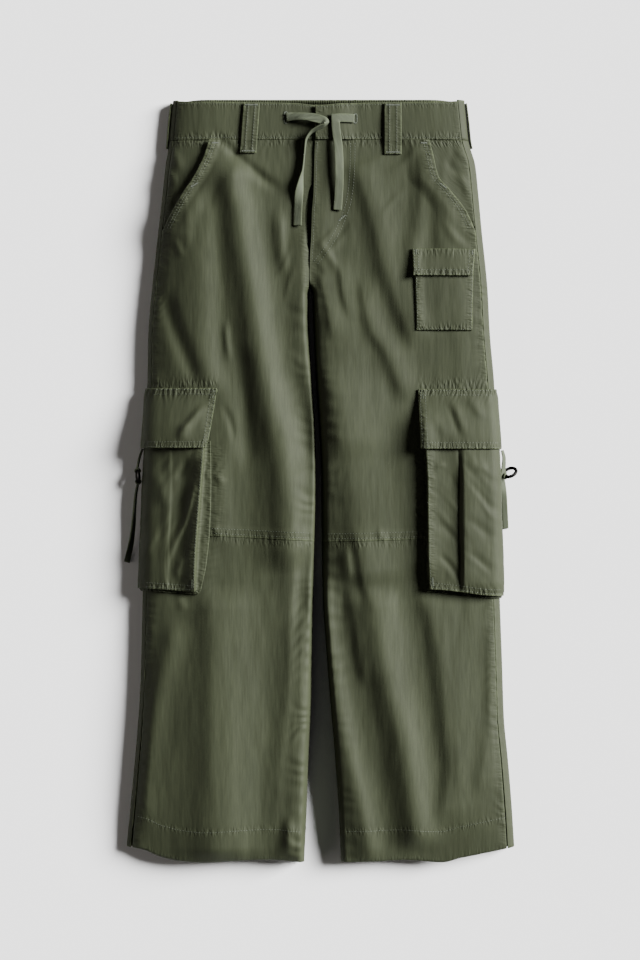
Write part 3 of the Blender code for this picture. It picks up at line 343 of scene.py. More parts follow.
# Points from the pocket to the ring, and from the ring to the free end: across, down, height
# and lean in degrees. The ring's own end of each is worked out.
TABS = {
    "right": ((-195.7, 382.7, 9.0, 80.0), (-199.2, 393.0, 8.4, 80.0)),
    "left": ((200.9, 384.0, 10.5, 66.0), (202.8, 393.5, 10.0, 56.0)),
}
TIES = {
    "right": ((-203.2, 433.0, 6.8, 74.0), (-204.6, 447.0, 6.2, 70.0), (-205.8, 462.0, 5.4, 60.0),
              (-208.0, 480.0, 4.2, 45.0), (-211.0, 495.0, 2.8, 25.0), (-214.5, 508.0, 1.4, 0.0)),
    "left": ((202.4, 427.0, 6.4, 25.0), (203.4, 440.0, 3.2, 5.0),
             (204.2, 454.0, 1.6, 0.0), (205.0, 470.5, 1.6, 0.0)),
}
RING_LEAN = {"right": 80.0, "left": 40.0}  # of a tab's and a tie's width beside the ring
RING_WIRE = 3.6

BAND_MIDDLE = 20.0  # down
BAND_END = {"right": 14.0, "left": -5.8}  # across, where the front waistbands end
BAND_RAISE = 3.8  # how far the left waistband's end rides over the right one
LAP_SPAN = (18, 26)  # across: where it starts to come down, and over how far
SEATED = 0.4  # outer face of a band or a loop over what is worked out for the cloth below
FLY_RAISE = 2.2  # how far the fly edge rides over its shield
OPENING_RAISE = 2.6  # front edge of a slant pocket over its facing
OPENING_GAPE = {"right": 3.4, "left": 0.3}
GAPE_LEVELS = (30.0, 150.0)
FLY_END = 196.0  # down
# Where the front comes down again beside them: how far off it starts, and over how far it goes.
RAISED = {"facing": (FACING_UNDERLAP + 3, 20), "gape": (0, 16), "end": (-22, 22),
          "fly": (10, 26), "fly end": (0, 22)}
BACK_BAND_TOP = -3.0  # down, where the back waistband's edge shows past the front's
BACK_CURL = (8.0, 9.0)  # how high its edge curls up behind the front's, and over what depth
GATHERS = 118  # gathers of the elastic waistband
GATHER_THIN = 0.82  # a gather's thinnest part, as a part of the band

# Puckers at the seams: pitch along the seam, depth, and reach beside it.
PUCKERS = {
    "waist": (6.5, 0.4, 9), "side": (13, 0.5, 9), "knee": (6, 0.45, 8), "hem": (8, 0.22, 6),
    "over flap": (5, 0.6, 13), "inseam": (17, 0.7, 12), "beside pocket": (10, 0.7, 10),
    "band seam": (3.6, 0.24, 7), "band top": (3.2, 0.15, 5),
    "pocket bottom": (5.5, 0.45, 9), "pocket front": (9, 0.35, 8),
    "flap seam": (4.6, 0.7, 12), "flap edge": (4.2, 0.4, 9), "flap front": (6.5, 0.35, 7),
    "patch bottom": (6, 0.4, 8), "patch top": (5.4, 0.45, 12),
}
# The soft unevenness of washed cotton, longer along the leg than across it: height, size.
CRUMPLES = ((0.30, (11.0, 46.0)), (0.13, (5.0, 19.0)))

# Colours, as sRGB hex.
COTTON = "292d1e"
COTTON_WORN = "434a33"
TAPE_COLOUR = "3f4437"
THREAD = "2e3427"
NICKEL = "191817"
NICKEL_RIM = "4a4846"  # at grazing angles
FLOOR = "e6e6e6"
SUN = {"strength": 22.0, "elevation": 26.5, "turn": 20.0, "angle": 26.0}
FILL = {"strength": 0.9, "elevation": 18.0, "turn": 180.0, "angle": 50.0}
WHITE = (1.0, 1.0, 1.0)
WARM = (1.0, 0.93, 0.86)  # colour of the fill, a warm wall's
SKY = 0.035  # radiance of the plain sky
CAMERA = {"lens": 100.0, "sensor": 36.0, "place": (-0.00055, 0.0021, 2.953), "far": 20.0}
PAPER = {"half": 6000.0, "drop": 0.3}  # half its width, and how far below the cloth it lies

STITCH = {"length": 2.6, "pitch": 3.1, "width": 0.5}
SATIN_PITCH = 0.55  # between the stitches of a bartack or a buttonhole

# Buttonholes of the drawstring: middle across and down, half height and half width.
BUTTONHOLES = {"right": (-38.4, 18.6, 4.6, 1.7), "left": (38.0, 19.8, 3.4, 1.7)}
# Bartacks on the fronts, each from a place to a place: across, down.
BARTACKS = {
    "right": (((-142.0, 95.6), (-134.6, 91.0)), ((-119.0, 47.0), (-112.0, 47.0))),
    "left": (((138.0, 97.6), (131.0, 92.4)), ((117.0, 47.0), (110.0, 47.0)),
             ((19.6, 132.4), (27.2, 126.2))),
}


def through(rows, column, at):
    """A smooth curve through a table's column, whose slope at a row is the harmonic mean of
    the slopes on its two sides, so that it never overshoots."""
    knots, values = rows[:, 0], rows[:, column]
    steps = np.diff(knots)
    rises = np.diff(values) / steps
    before, after = rises[:-1], rises[1:]
    same = before * after > 0
    total = np.where(same, before + after, 1.0)
    middle = np.where(same, 2 * before * after / total, 0.0)
    slopes = np.concatenate([rises[:1], middle, rises[-1:]])
    at = np.clip(at, knots[0], knots[-1])
    i = np.clip(np.searchsorted(knots, at, side="right") - 1, 0, len(steps) - 1)
    s = (at - knots[i]) / steps[i]
    keep, turn = 1 - s * s * (3 - 2 * s), s * (1 - s)
    return (keep * values[i] + (1 - keep) * values[i + 1]
            + steps[i] * turn * ((1 - s) * slopes[i] - s * slopes[i + 1]))


def ease(value):
    """0 below 0, 1 above 1, and a soft step between."""
    s = np.clip(value, 0.0, 1.0)
    return s * s * (3 - 2 * s)


def ramp(distance, start_and_reach):
    """0 up to a start, and a soft step to 1 over the reach beyond it."""
    return ease((distance - start_and_reach[0]) / start_and_reach[1])


def quarter(value):
    """The height of a quarter ellipse, from 0 at its foot to 1."""
    return np.sqrt(1 - (1 - np.clip(value, 0.0, 1.0)) ** 2)


def rise(distance, turn, share, dome):
    """How much of its full height a leg reaches at a distance from its edge: a share of it in
    the turn at the edge, the rest in a parabola as wide as the dome."""
    wide = 1 - (1 - np.clip(distance / dome, 0.0, 1.0)) ** 2
    return share * quarter(distance / turn) + (1 - share) * wide


def noise(across, down, size, seed):
    """Smooth noise from -1 to 1, in patches of the given width and length."""
    values = np.random.default_rng(seed).uniform(-1, 1, (128, 128))
    x, y = across / size[0], down / size[1]
    i, j = np.floor(x).astype(int), np.floor(y).astype(int)
    s, t = ease(x - i), ease(y - j)
    near = values[i % 128, j % 128] * (1 - s) + values[(i + 1) % 128, j % 128] * s
    far = values[i % 128, (j + 1) % 128] * (1 - s) + values[(i + 1) % 128, (j + 1) % 128] * s
    return near * (1 - t) + far * t


def near(distance, reach):
    """1 at a line, dying away within its reach."""
    return np.exp(-((distance / reach) ** 2))


def pucker(seam, along, off, seed):
    """Small waves across a seam, of uneven strength and spacing, dying away from it."""
    pitch, depth, reach = PUCKERS[seam]
    drift = 0.9 * noise(along, off, (pitch * 1.7, reach * 2), seed)
    strength = 0.6 + 0.5 * noise(along, off, (pitch * 2.3, reach * 3), seed + 1)
    return depth * strength * np.sin(2 * pi * (along / pitch + drift)) * near(off, reach)


def rolled(distance, drop=0.5, width=1.0):
    """How far a folded edge turns down at a distance from it."""
    return drop * (1 - quarter(distance / width))


def between(pair, part):
    """What lies a part of the way from the first to the second of a pair."""
    return pair[0] + part * (pair[1] - pair[0])


def side_edge(side, down):
    return through(SIDE_EDGE, COLUMN[side], down)


def inner_edge(side, down):
    return through(INNER_EDGE, COLUMN[side], down)


def closing(down):
    """0 where front and back lie apart at the centre, 1 at the crotch and below it."""
    return 1 - quarter((CROTCH - down) / CROTCH_ROUND)


def fold_height(folds, across, down):
    """All folds together. Each runs along the chord of its path, off which the path's points
    set its crest: height * exp(-(distance from the crest / reach) ** 2)."""
    total = np.zeros(np.broadcast(across, down).shape)
    for *sizes, path in ((*row[:3], np.array(row[3:], float)) for row in folds):
        chord = path[-1] - path[0]
        length = np.hypot(*chord)
        chord /= length
        aside = np.array([chord[1], -chord[0]])
        crest = np.column_stack([(path - path[0]) @ chord, (path - path[0]) @ aside])
        from_start = np.stack(np.broadcast_arrays(across - path[0, 0], down - path[0, 1]), -1)
        along, off = from_start @ chord, from_start @ aside
        bend = (through(crest, 1, along + 1) - through(crest, 1, along - 1)) / 2
        off = (off - through(crest, 1, along)) / np.hypot(1, bend)
        part = np.clip(along / length, 0, 1)
        height, right, left = (between(np.broadcast_to(size, 2), part) for size in sizes)
        fade = min(FADE, 0.4 * length)
        taper = ease(along / fade) * ease((length - along) / fade)
        total += height * taper * near(off, np.where(off < 0, right, left))
    return total


def top(side, across, down):
    """Height of the front's outer skin, its main folds included."""
    crown, rim = through(HEIGHT, 1, down), through(HEIGHT, 2, down)
    from_side = np.abs(SIGN[side] * side_edge(side, down) - across)
    from_inner = np.abs(inner_edge(side, down) - across)
    close = closing(down)
    turn, share = (through(INNER_RISE, COLUMN[side] + more, down) for more in (0, 2))
    inner = 1 - close * (1 - rise(from_inner, turn, share, INNER_DOME))
    calm = ramp(from_side, CALM["side"]) * (1 - close * (1 - ramp(from_inner, CALM["inseam"])))
    calm = calm * ramp(down, CALM["waist"]) * ramp(LENGTH - down, CALM["hem"])
    return rim + (crown - rim) * rise(from_side, SHOULDER[side], *SIDE_RISE[side]) * inner + (
        calm * fold_height(LEG_FOLDS, across, down))


def opening_raise(side, across, down):
    """How far the front lies above its own plateau beside the slant pocket and the fly."""
    inside = through(HIP_OPENING, COLUMN[side], down) - np.abs(across)
    hip = OPENING_RAISE * (1 - ramp(inside, RAISED["facing"]))
    gape = OPENING_GAPE[side] * (1 - ramp(inside, RAISED["gape"])) * np.sin(
        pi * np.clip((down - GAPE_LEVELS[0]) / (GAPE_LEVELS[1] - GAPE_LEVELS[0]), 0, 1))
    raised = ramp(OPENING_END - down, RAISED["end"]) * (hip + gape)
    if side == "left":
        from_fly = np.abs(across - inner_edge(side, down))
        raised = raised + FLY_RAISE * (1 - ramp(from_fly, RAISED["fly"])) * ramp(
            FLY_END - down, RAISED["fly end"])
    return raised


def crumple(across, down, seed, strength=1.0):
    """The unevenness of washed cotton."""
    return strength * sum(height * noise(across, down, size, seed + i)
                          for i, (height, size) in enumerate(CRUMPLES))


def slanted(side, across, down, seed):
    """Small creases in a pocket's cloth, running down and away from its front edge."""
    lean = SIGN[side] * SLANT["lean"]
    off, along = across * cos(lean) - down * sin(lean), across * sin(lean) + down * cos(lean)
    strength = 0.6 + 0.4 * noise(across, down, SLANT["patches"], seed + 1)
    return SLANT["height"] * noise(off, along, SLANT["size"], seed) * strength


def points(across, down, height):
    """Grid of points from across, down and height, in world millimetres."""
    across, down, height = np.broadcast_arrays(across, down, height)
    return np.stack([across, LENGTH / 2 - down, height], axis=-1)


def round_side(side, down, angle, lift):
    """Points round a leg's side, moved out of it by lift. Angle 90 is the top of the turn,
    0 the outline and -90 the floor, in degrees."""
    out, up = np.cos(np.radians(angle)), np.sin(np.radians(angle))
    width = np.where(angle > 0, SHOULDER[side], UNDER)
    edge = side_edge(side, down)
    skin_across = SIGN[side] * (edge - width * (1 - out))
    rim = through(HEIGHT, 2, down)
    height = np.where(angle > 0, top(side, skin_across, down), rim * (1 + up))
    across = SIGN[side] * (np.abs(skin_across) + lift * out)
    return points(across, down, height + lift * up)


def lines(start, end, step, dense=(), fine=0.6, reach=5.0):
    """Places from start to end about a step apart, and closer beside the dense ones."""
    at = np.linspace(start, end, 4001)
    crowd = sum((near(at - place, reach) for place in dense), np.zeros(len(at)))
    packed = np.cumsum(1 / step + (1 / fine - 1 / step) * np.minimum(crowd, 1.0))
    packed = (packed - packed[0]) * abs(end - start) / 4001
    return np.interp(np.linspace(0, packed[-1], int(packed[-1]) + 2), packed, at)


# Materials


def linear(colour):
    """Scene-linear RGBA of an sRGB hex colour."""
    channels = np.array([int(colour[i:i + 2], 16) for i in (0, 2, 4)]) / 255
    bent = np.where(channels > 0.04045, ((channels + 0.055) / 1.055) ** 2.4, channels / 12.92)
    return (*bent.tolist(), 1.0)


def add(tree, kind, inputs=(), **settings):
    """A shader node with its settings. Inputs maps a socket to a value or to a socket."""
    made = tree.nodes.new(f"ShaderNode{kind}")
    for key, value in settings.items():
        setattr(made, key, value)
    for socket, value in dict(inputs).items():
        if isinstance(value, bpy.types.NodeSocket):
            tree.links.new(value, made.inputs[socket])
        else:
            made.inputs[socket].default_value = value
    return made


def begin(name, settings):
    """A new material, its tree and its Principled shader with some of its sockets set."""
    made = bpy.data.materials.new(name)
    made.use_nodes = True
    shader = made.node_tree.nodes["Principled BSDF"]
    for socket, value in settings.items():
        shader.inputs[socket].default_value = value
    return made, made.node_tree, shader


def blend(tree, factor, first, second, mode="MIX"):
    """A colour between two, or a product of them."""
    mixed = add(tree, "Mix", data_type="RGBA", blend_type=mode)
    for socket, value in ((0, factor), (6, first), (7, second)):
        if isinstance(value, bpy.types.NodeSocket):
            tree.links.new(value, mixed.inputs[socket])
        else:
            mixed.inputs[socket].default_value = value
    return mixed.outputs[2]


def grain(tree, size, seed, detail=2.0):
    """Noise along the cloth's own width and length, in patches of that size in millimetres."""
    place = add(tree, "UVMap", uv_map="cloth").outputs[0]
    scale = (1 / (size[0] * MM), 1 / (size[1] * MM), 1.0)
    spot = add(tree, "Mapping", {"Vector": place, "Scale": scale, "Location": (seed, 0, 0)})
    return add(tree, "TexNoise", {"Vector": spot.outputs[0], "Scale": 1.0, "Detail": detail},
               noise_dimensions="2D").outputs[0]


def threads(tree, pitch, direction):
    """Raised threads across the cloth, as bands."""
    place = add(tree, "UVMap", uv_map="cloth").outputs[0]
    return add(tree, "TexWave", {"Vector": place, "Scale": pi / 10 / (pitch * MM),
                                 "Distortion": 0.0},
               wave_type="BANDS", bands_direction=direction).outputs["Fac"]


def remap(tree, value, low, high, span=(0.3, 0.7)):
    """A value's span stretched to low and high."""
    return add(tree, "MapRange", {"Value": value, "From Min": span[0], "From Max": span[1],
                                  "To Min": low, "To Max": high}).outputs[0]


def times(tree, first, second, operation="MULTIPLY"):
    return add(tree, "Math", {0: first, 1: second}, operation=operation).outputs[0]


def woven(name, colour, worn_colour, pitch, roughness, sheen, relief):
    """Washed plain-weave cotton: mottled, slubbed along the warp, paler where edges wear, with
    painted shade in the hollows of its puckers and painted light on their crests.
    """
    made, tree, shader = begin(name, {
        "Roughness": roughness, "Specular IOR Level": 0.15, "Sheen Weight": sheen,
        "Sheen Roughness": 0.4, "Sheen Tint": linear(worn_colour)})
    wear = add(tree, "Attribute", attribute_name="worn").outputs["Fac"]
    patchy = times(tree, wear, remap(tree, grain(tree, (5, 5), 3.0), 0.2, 1.0))
    drawn = add(tree, "Attribute", attribute_name="drawn").outputs["Vector"]
    drawn = add(tree, "SeparateXYZ", {"Vector": drawn})
    gathers = times(
        tree, times(tree, drawn.outputs[0], remap(tree, grain(tree, (2.6, 9), 21.0, 1.0), -1, 1)),
        times(tree, drawn.outputs[1], remap(tree, grain(tree, (9, 2.6), 23.0, 1.0), -1, 1)), "ADD")
    gathers = times(tree, gathers, remap(tree, grain(tree, (13, 13), 27.0), 0.3, 1.1))
    mottle = remap(tree, grain(tree, (45, 80), 0.0), 0.93, 1.07)
    slub = remap(tree, grain(tree, (1.6, 16), 7.0), 0.92, 1.08)
    base = blend(tree, patchy, linear(colour), linear(worn_colour))
    # Painted shade and light: the puckers' height darkens the colour in their hollows and lightens
    # it on their crests.
    painted_pucker_shade = remap(tree, gathers, 0.78, 1.10, (-1.0, 1.0))
    mottle_slub_and_pucker_shade = times(tree, times(tree, mottle, slub), painted_pucker_shade)
    shade = add(tree, "CombineColor", {i: mottle_slub_and_pucker_shade for i in range(3)})
    tree.links.new(blend(tree, 1.0, base, shade.outputs[0], "MULTIPLY"),
                   shader.inputs["Base Color"])
    weave = times(tree, threads(tree, pitch, "X"), threads(tree, pitch, "Y"), "ADD")
    gathered = add(tree, "Bump", {"Height": gathers, "Strength": 1.0, "Distance": 0.55 * MM})
    creased = add(tree, "Bump", {"Height": grain(tree, (4.5, 30), 31.0, 1.0), "Strength": 1.0,
                                 "Distance": 0.2 * MM, "Normal": gathered.outputs[0]})
    rough = add(tree, "Bump", {"Height": grain(tree, (1.2, 9), 11.0), "Strength": 0.5 * relief,
                               "Distance": 0.15 * MM, "Normal": creased.outputs[0]})
    bump = add(tree, "Bump", {"Height": weave, "Strength": relief, "Distance": 0.05 * MM,
                              "Normal": rough.outputs[0]})
    tree.links.new(bump.outputs[0], shader.inputs["Normal"])
    return made


def make_materials():
    """Every finish, by name."""
    made = {}
    # Garment-dyed cotton. Its threads are drawn at twice their real 0.4 mm, to show at all.
    made["cotton"] = woven("garment_dyed_cotton", COTTON, COTTON_WORN, 0.8, 0.7, 0.03, 0.35)
    # Flat woven cotton tape, coarser and paler than the trousers' own cloth.
    made["tape"] = woven("woven_cotton_tape", TAPE_COLOUR, COTTON_WORN, 1.2, 0.8, 0.05, 0.6)

    made["thread"] = begin("polyester_thread", {
        "Base Color": linear(THREAD), "Roughness": 0.55})[0]
    made["paper"] = begin("studio_paper", {
        "Base Color": linear(FLOOR), "Roughness": 1.0, "Specular IOR Level": 0.0})[0]

    # Blackened nickel, rubbed brighter in places.
    made["metal"], tree, shader = begin("blackened_nickel", {
        "Base Color": linear(NICKEL), "Metallic": 1.0, "Specular Tint": linear(NICKEL_RIM)})
    place = add(tree, "TexCoord").outputs["Object"]
    rub = add(tree, "TexNoise", {"Vector": place, "Scale": 260.0, "Detail": 3.0}).outputs[0]
    tree.links.new(remap(tree, rub, 0.45, 0.65), shader.inputs["Roughness"])
    return made


# Skins


def new_object(name, vertices, faces, finish):
    """An object at the origin from world millimetres."""
    mesh = bpy.data.meshes.new(name)
    mesh.from_pydata((vertices * MM).tolist(), [], faces.tolist())
    mesh.shade_smooth()
    mesh.materials.append(finish)
    made = bpy.data.objects.new(name, mesh)
    bpy.context.scene.collection.objects.link(made)
    return made


def arc(grid, axis):
    """Distance along a grid's lines from the first point of each."""
    steps = np.linalg.norm(np.diff(grid, axis=axis), axis=2)
    zero = np.zeros_like(steps[:1] if axis == 0 else steps[:, :1])
    return np.concatenate([zero, np.cumsum(steps, axis=axis)], axis=axis)


def attribute(made, name, kind, field, values):
    made.data.attributes.new(name, kind, "POINT").data.foreach_set(field, values.ravel())


def skin(name, grid, wall, facing=(0.0, 0.0, 1.0), finish="cotton", worn=(0, 0, 0, 0),
         sewn=(0, 0, 0, 0), seams=(0.0, 0.0), thin=None, flat=False, node=None, closed=False):
    """A piece of cloth from a grid of its outer skin's points. Worn is how much the first row,
    last row, first column and last column have faded, sewn how much their sewing puckers them,
    seams what the sewing inside the piece adds to the puckers across it and along it, and thin
    the part of the wall that each column keeps. The weave of a flat piece runs straight down.
    A closed piece is a tube whose rows run round it, so it faces away from its own middle."""
    rows, columns = grid.shape[:2]
    index = np.arange(rows * columns).reshape(rows, columns)
    faces = np.stack([index[:-1, :-1], index[:-1, 1:], index[1:, 1:], index[1:, :-1]], axis=-1)
    faces = faces.reshape(-1, 4)
    sides = np.cross(grid[1:, 1:] - grid[:-1, :-1], grid[1:, :-1] - grid[:-1, 1:])
    away = grid[1:, 1:] - grid.mean(axis=0)[1:] if closed else np.array(facing)
    if (sides * away).sum() < 0:
        faces = faces[:, ::-1]
    made = new_object(name, grid.reshape(-1, 3), faces, FINISHES[finish])

    wide, long = arc(grid, 1), arc(grid, 0)
    middle = columns // 2
    if flat:
        u, v = grid[..., 0], -grid[..., 1]
    else:
        u = wide - wide[:, middle, None] + grid[:, middle, None, 0]
        v = np.broadcast_to(long[:, middle, None], u.shape) - grid[0, middle, 1]
    uv = np.stack([u, v], axis=-1).reshape(-1, 2) * MM
    corners = np.empty(len(made.data.loops), int)
    made.data.loops.foreach_get("vertex_index", corners)
    made.data.uv_layers.new(name="cloth").data.foreach_set("uv", uv[corners].ravel())

    edges = (long, long[-1] - long, wide, wide[:, -1:] - wide)
    fade = sum(part * near(edge, WORN_REACH) for part, edge in zip(worn, edges))
    fade = np.broadcast_to(fade, u.shape)
    attribute(made, "worn", "FLOAT", "value", np.minimum(fade, 1.0))
    # Drawn sets the puckers' bump and also the painted shade in their hollows.
    drawn = [part * near(edge - SEWN_INSET, SEWN_REACH) for part, edge in zip(sewn, edges)]
    drawn = (drawn[0] + drawn[1] + seams[0], drawn[2] + drawn[3] + seams[1], np.zeros(u.shape))
    drawn = np.stack([np.broadcast_to(part, u.shape) for part in drawn], axis=-1)
    attribute(made, "drawn", "FLOAT_VECTOR", "vector", drawn)

    solid = made.modifiers.new("wall", "SOLIDIFY")
    solid.thickness = wall * MM
    solid.offset = -1.0
    if thin is not None:
        group = made.vertex_groups.new(name="wall")
        for column, part in enumerate(thin):
            group.add(index[:, column].tolist(), float(part), "REPLACE")
        solid.vertex_group = "wall"
    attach(made, "root")
    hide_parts(node or name)
    if name in CUTS:
        width, length, part, under = CUTS[name]
    return made


# What shows of each piece, as it was cut: width, length, the part of that rectangle that it
# fills, and what it lies on. First the pieces that have a right and a left one.
CUTS = {name.format(side): (*cut, tuple(under.format(side).split()))
        for name, right, left, under in (
            ("back_{}", (215, 799, 0.93), (225, 800, 0.96), "paper"),
            ("front_{}_upper", (208, 455, 0.84), (207, 456, 0.88), "back_{0} hip_facing_{0}"),
            ("front_{}_lower", (213, 368, 0.95), (209, 362, 0.96), "back_{}"),
            ("hip_facing_{}", (55, 109, 0.63), (52, 111, 0.66), "back_{}"),
            ("belt_loop_front_{}", (19, 56, 0.98), (20, 58, 0.98), "waistband_front_{}"),
            ("belt_loop_side_{}", (10, 50, 0.7), (10, 50, 0.75), "waistband_back"),
            ("cargo_pocket_{}", (90, 167, 0.97), (121, 172, 0.96),
             "front_{0}_upper front_{0}_lower"),
            ("cargo_gusset_{}", (17, 246, 0.65), (10, 265, 0.72),
             "front_{0}_upper front_{0}_lower"),
            ("cargo_flap_{}", (99, 69, 0.96), (119, 70, 0.92), "cargo_pocket_{}"),
        ) for side, cut in (("right", right), ("left", left))}
CUTS.update({
    "waistband_front_right": (180, 41, 0.94, ("waistband_back",)),
    "waistband_front_left": (168, 41, 0.92, ("waistband_front_right",)),
    "waistband_back": (460, 45, 1.0, ("paper",)),
    "fly_shield": (32, 139, 0.98, ("back_right",)),
    "coin_pocket": (67, 70, 0.98, ("front_left_upper",)),
    "coin_flap": (72, 31, 0.96, ("coin_pocket",)),
})

WORN_REACH = 1.6  # width of the faded line along a folded edge
SEWN_INSET, SEWN_REACH = 3.0, 4.5  # where the puckers of a sewn edge lie, and how wide


def sew(name, rows, bars, lift):
    """Stitches along rows of points and across bars, as one object. Each stitch is a capsule:
    a ring of six points at each end and a point beyond it."""
    rows = [row + [0, 0, lift] for row in rows]
    rows += [stitch for bar in bars for stitch in satin(bar + [0, 0, lift])]
    half, radius = STITCH["length"] / 2, STITCH["width"] / 2
    angles = np.radians(np.arange(6) * 60.0)
    ring = np.column_stack([np.zeros(6), np.cos(angles) * radius, np.sin(angles) * radius * 0.7])
    ends = [ring + [shift, 0, 0] for shift in (-half * 0.6, half * 0.6)]
    shape = np.concatenate([[[-half, 0, -radius]], *ends, [[half, 0, -radius]]])
    faces = []
    for i in range(6):
        j = (i + 1) % 6
        faces += [(0, 1 + j, 1 + i), (13, 7 + i, 7 + j)]
        faces += [(1 + i, 1 + j, 7 + j), (1 + i, 7 + j, 7 + i)]
    vertices, polygons = [], []
    for row in rows:
        run = np.concatenate([[0], np.cumsum(np.linalg.norm(np.diff(row, axis=0), axis=1))])
        count = int(run[-1] / STITCH["pitch"])
        at = (np.arange(count) + 0.5) * run[-1] / max(count, 1)
        middle, ahead, behind = (along_line(row, run, at + more) for more in (0, 0.8, -0.8))
        along = ahead - behind
        along /= np.linalg.norm(along, axis=1)[:, None]
        level = np.cross([0.0, 0.0, 1.0], along)
        level /= np.linalg.norm(level, axis=1)[:, None]
        up = np.cross(along, level)
        for centre, x, y, z in zip(middle, along, level, up):
            polygons.append(np.array(faces) + 14 * len(vertices))
            vertices.append(centre + shape @ np.array([x, y, z]))
    made = new_object(name, np.concatenate(vertices), np.concatenate(polygons),
                      FINISHES["thread"])
    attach(made, "root")
    return made


def along_line(line, run, at):
    """Points of a line at distances along it, of which run gives its own points'."""
    return np.column_stack([np.interp(at, run, line[:, k]) for k in range(3)])


def satin(line):
    """Rows of one stitch each, close together across a line of points."""
    run = arc(line[:, None], 0)[:, 0]
    at = np.arange(SATIN_PITCH / 2, run[-1], SATIN_PITCH)
    middle, ahead = (along_line(line, run, at + more) for more in (-0.2, 0.2))
    across = np.cross([0.0, 0.0, 1.0], ahead - middle)
    across *= STITCH["pitch"] * 0.52 / np.linalg.norm(across, axis=1)[:, None]
    middle = (middle + ahead) / 2
    return list(np.stack([middle - across, middle + across], axis=1))


# Legs


def knee(side, part):
    """The knee seam's level, a part of the way in from the side."""
    return KNEE_SEAM + (-5 + 9 * part if side == "right" else 5 * part)


def hem(side, part):
    return through(HEM, COLUMN[side], part)


def front_start(side, down):
    """How far from the centre line a front panel starts: at its slant opening, then at the
    side seam."""
    seam = side_edge(side, down) - SEAM_INSET[side] - GAP / 2
    opening = through(HIP_OPENING, COLUMN[side], down)
    return np.where(down < OPENING_END, np.minimum(opening, seam), seam)


def width_part(side, across, down):
    """How far in from the side a point lies, as a part of the leg's width."""
    outer, inner = SIGN[side] * side_edge(side, down), inner_edge(side, down)
    return np.clip((outer - across) / (outer - inner), 0.0, 1.0)


def at_pocket(down):
    """1 beside the cargo pockets, 0 above and below them."""
    return ease((down - POCKET_MOUTH) / 10) * ease((POCKET_BOTTOM["left"][1] - down) / 10)


def relief(side, across, down):
    """Fine relief of a front panel: crumpling, creases, and what its seams do to it."""
    seed, flap = 10 + SEED[side], CARGO_FLAP[side]
    inset = front_start(side, down) - np.abs(across)
    below_band = down - WAIST_SEAM
    part = width_part(side, across, down)
    past_knee = down - knee(side, part)
    above_hem = hem(side, part) - down
    at_flap = ease((np.abs(across) - flap[0, 1] + 4) / 6)
    from_inner = np.abs(inner_edge(side, down) - across)
    beside = through(POCKET[side], 2, down) - np.abs(across)
    total = crumple(across, down, seed) + fold_height(LEG_CREASES, across, down)
    seams = (  # share, name, along it, off it
        (1, "waist", across, below_band),
        (1, "side", down, inset),
        (1, "knee", across, past_knee),
        (1, "hem", across, above_hem - HEM_BAND),
        (at_flap, "over flap", across + 0.3 * down, flap[0, 0] - down),
        (closing(down), "inseam", down, from_inner - 6),
        (at_pocket(down) * ease((beside + 2) / 2), "beside pocket", down + 0.4 * beside, beside),
    )
    for i, (share, *seam) in enumerate(seams):
        total += share * pucker(*seam, seed + 2 + 2 * i)
    lapped = (past_knee < 0) * (0.4 * ease((past_knee + 12) / 3))
    edges = rolled(inset, 0.25) + rolled(np.abs(past_knee), 0.06) + rolled(below_band, 0.12)
    hem_lip = rolled(above_hem, 2.2, 3.0) - 0.25 * ease((HEM_BAND + 2 - above_hem) / 3)
    return total + lapped - edges - hem_lip


def front_height(side, across, down):
    return top(side, across, down) + opening_raise(side, across, down) + relief(
        side, across, down)


def front_across(side, down, part):
    """Where a column that is a part of the way in from the panel's start runs: evenly to the
    inner turn, and then round it from part 1 to part 2."""
    start = front_start(side, down)
    inward = np.abs(SIGN[side] * start - inner_edge(side, down)) - INNER_TURN
    turned = INNER_TURN * np.sin(pi / 2 * np.clip(part - 1, 0, 1))
    return SIGN[side] * (start - np.minimum(part, 1) * inward - turned)


def front_columns():
    flat = lines(0.0, 1.0, 0.0115, (0.0,), fine=0.004, reach=0.06)
    return np.concatenate([flat, 1 + np.array(TURN_COLUMNS)])


def front(side, name, levels, place, seams, worn, sewn):
    """A front panel. Place gives how far down a point of the grid lies, from its level and the
    part of the leg's width that it is in from the side. Seams gives what the sewing inside the
    panel adds to its puckers, across it and along it."""
    part, levels = np.meshgrid(front_columns(), levels)
    down = place(levels, width_part(side, front_across(side, levels, part), levels))
    across = front_across(side, down, part)
    grid = points(across, down, front_height(side, across, down))
    return skin(f"front_{side}_{name}", grid, CLOTH, flat=True, worn=worn, sewn=sewn,
                seams=seams(across, down))


def front_upper(side):
    def place(levels, part):
        near_knee = ease((levels - 400) / (KNEE_SEAM - 400))
        return levels + near_knee * (knee(side, part) - GAP / 2 - KNEE_SEAM)

    def seams(across, down):
        above_flap = CARGO_FLAP[side][0, 0] - down
        at_flap = ease((np.abs(across) - CARGO_FLAP[side][0, 1] + 2) / 6)
        beside_pocket = np.abs(across) - through(POCKET[side], 2, down)
        opening = ease((OPENING_END + 10 - down) / 12) * near(
            front_start(side, down) - np.abs(across) - 6, 5.0)
        return (0.6 * at_flap * near(above_flap - 3, 8.0),
                0.4 * at_pocket(down) * near(beside_pocket + 6, 7.0) + 0.7 * opening)

    levels = lines(WAIST_SEAM + GAP / 2, KNEE_SEAM, 2.0, (WAIST_SEAM, KNEE_SEAM), reach=4.0)
    return front(side, "upper", levels, place, seams, worn=(0, 0.5, 0.6, 0),
                 sewn=(0.4, 0.4, 0.35, 0.25))


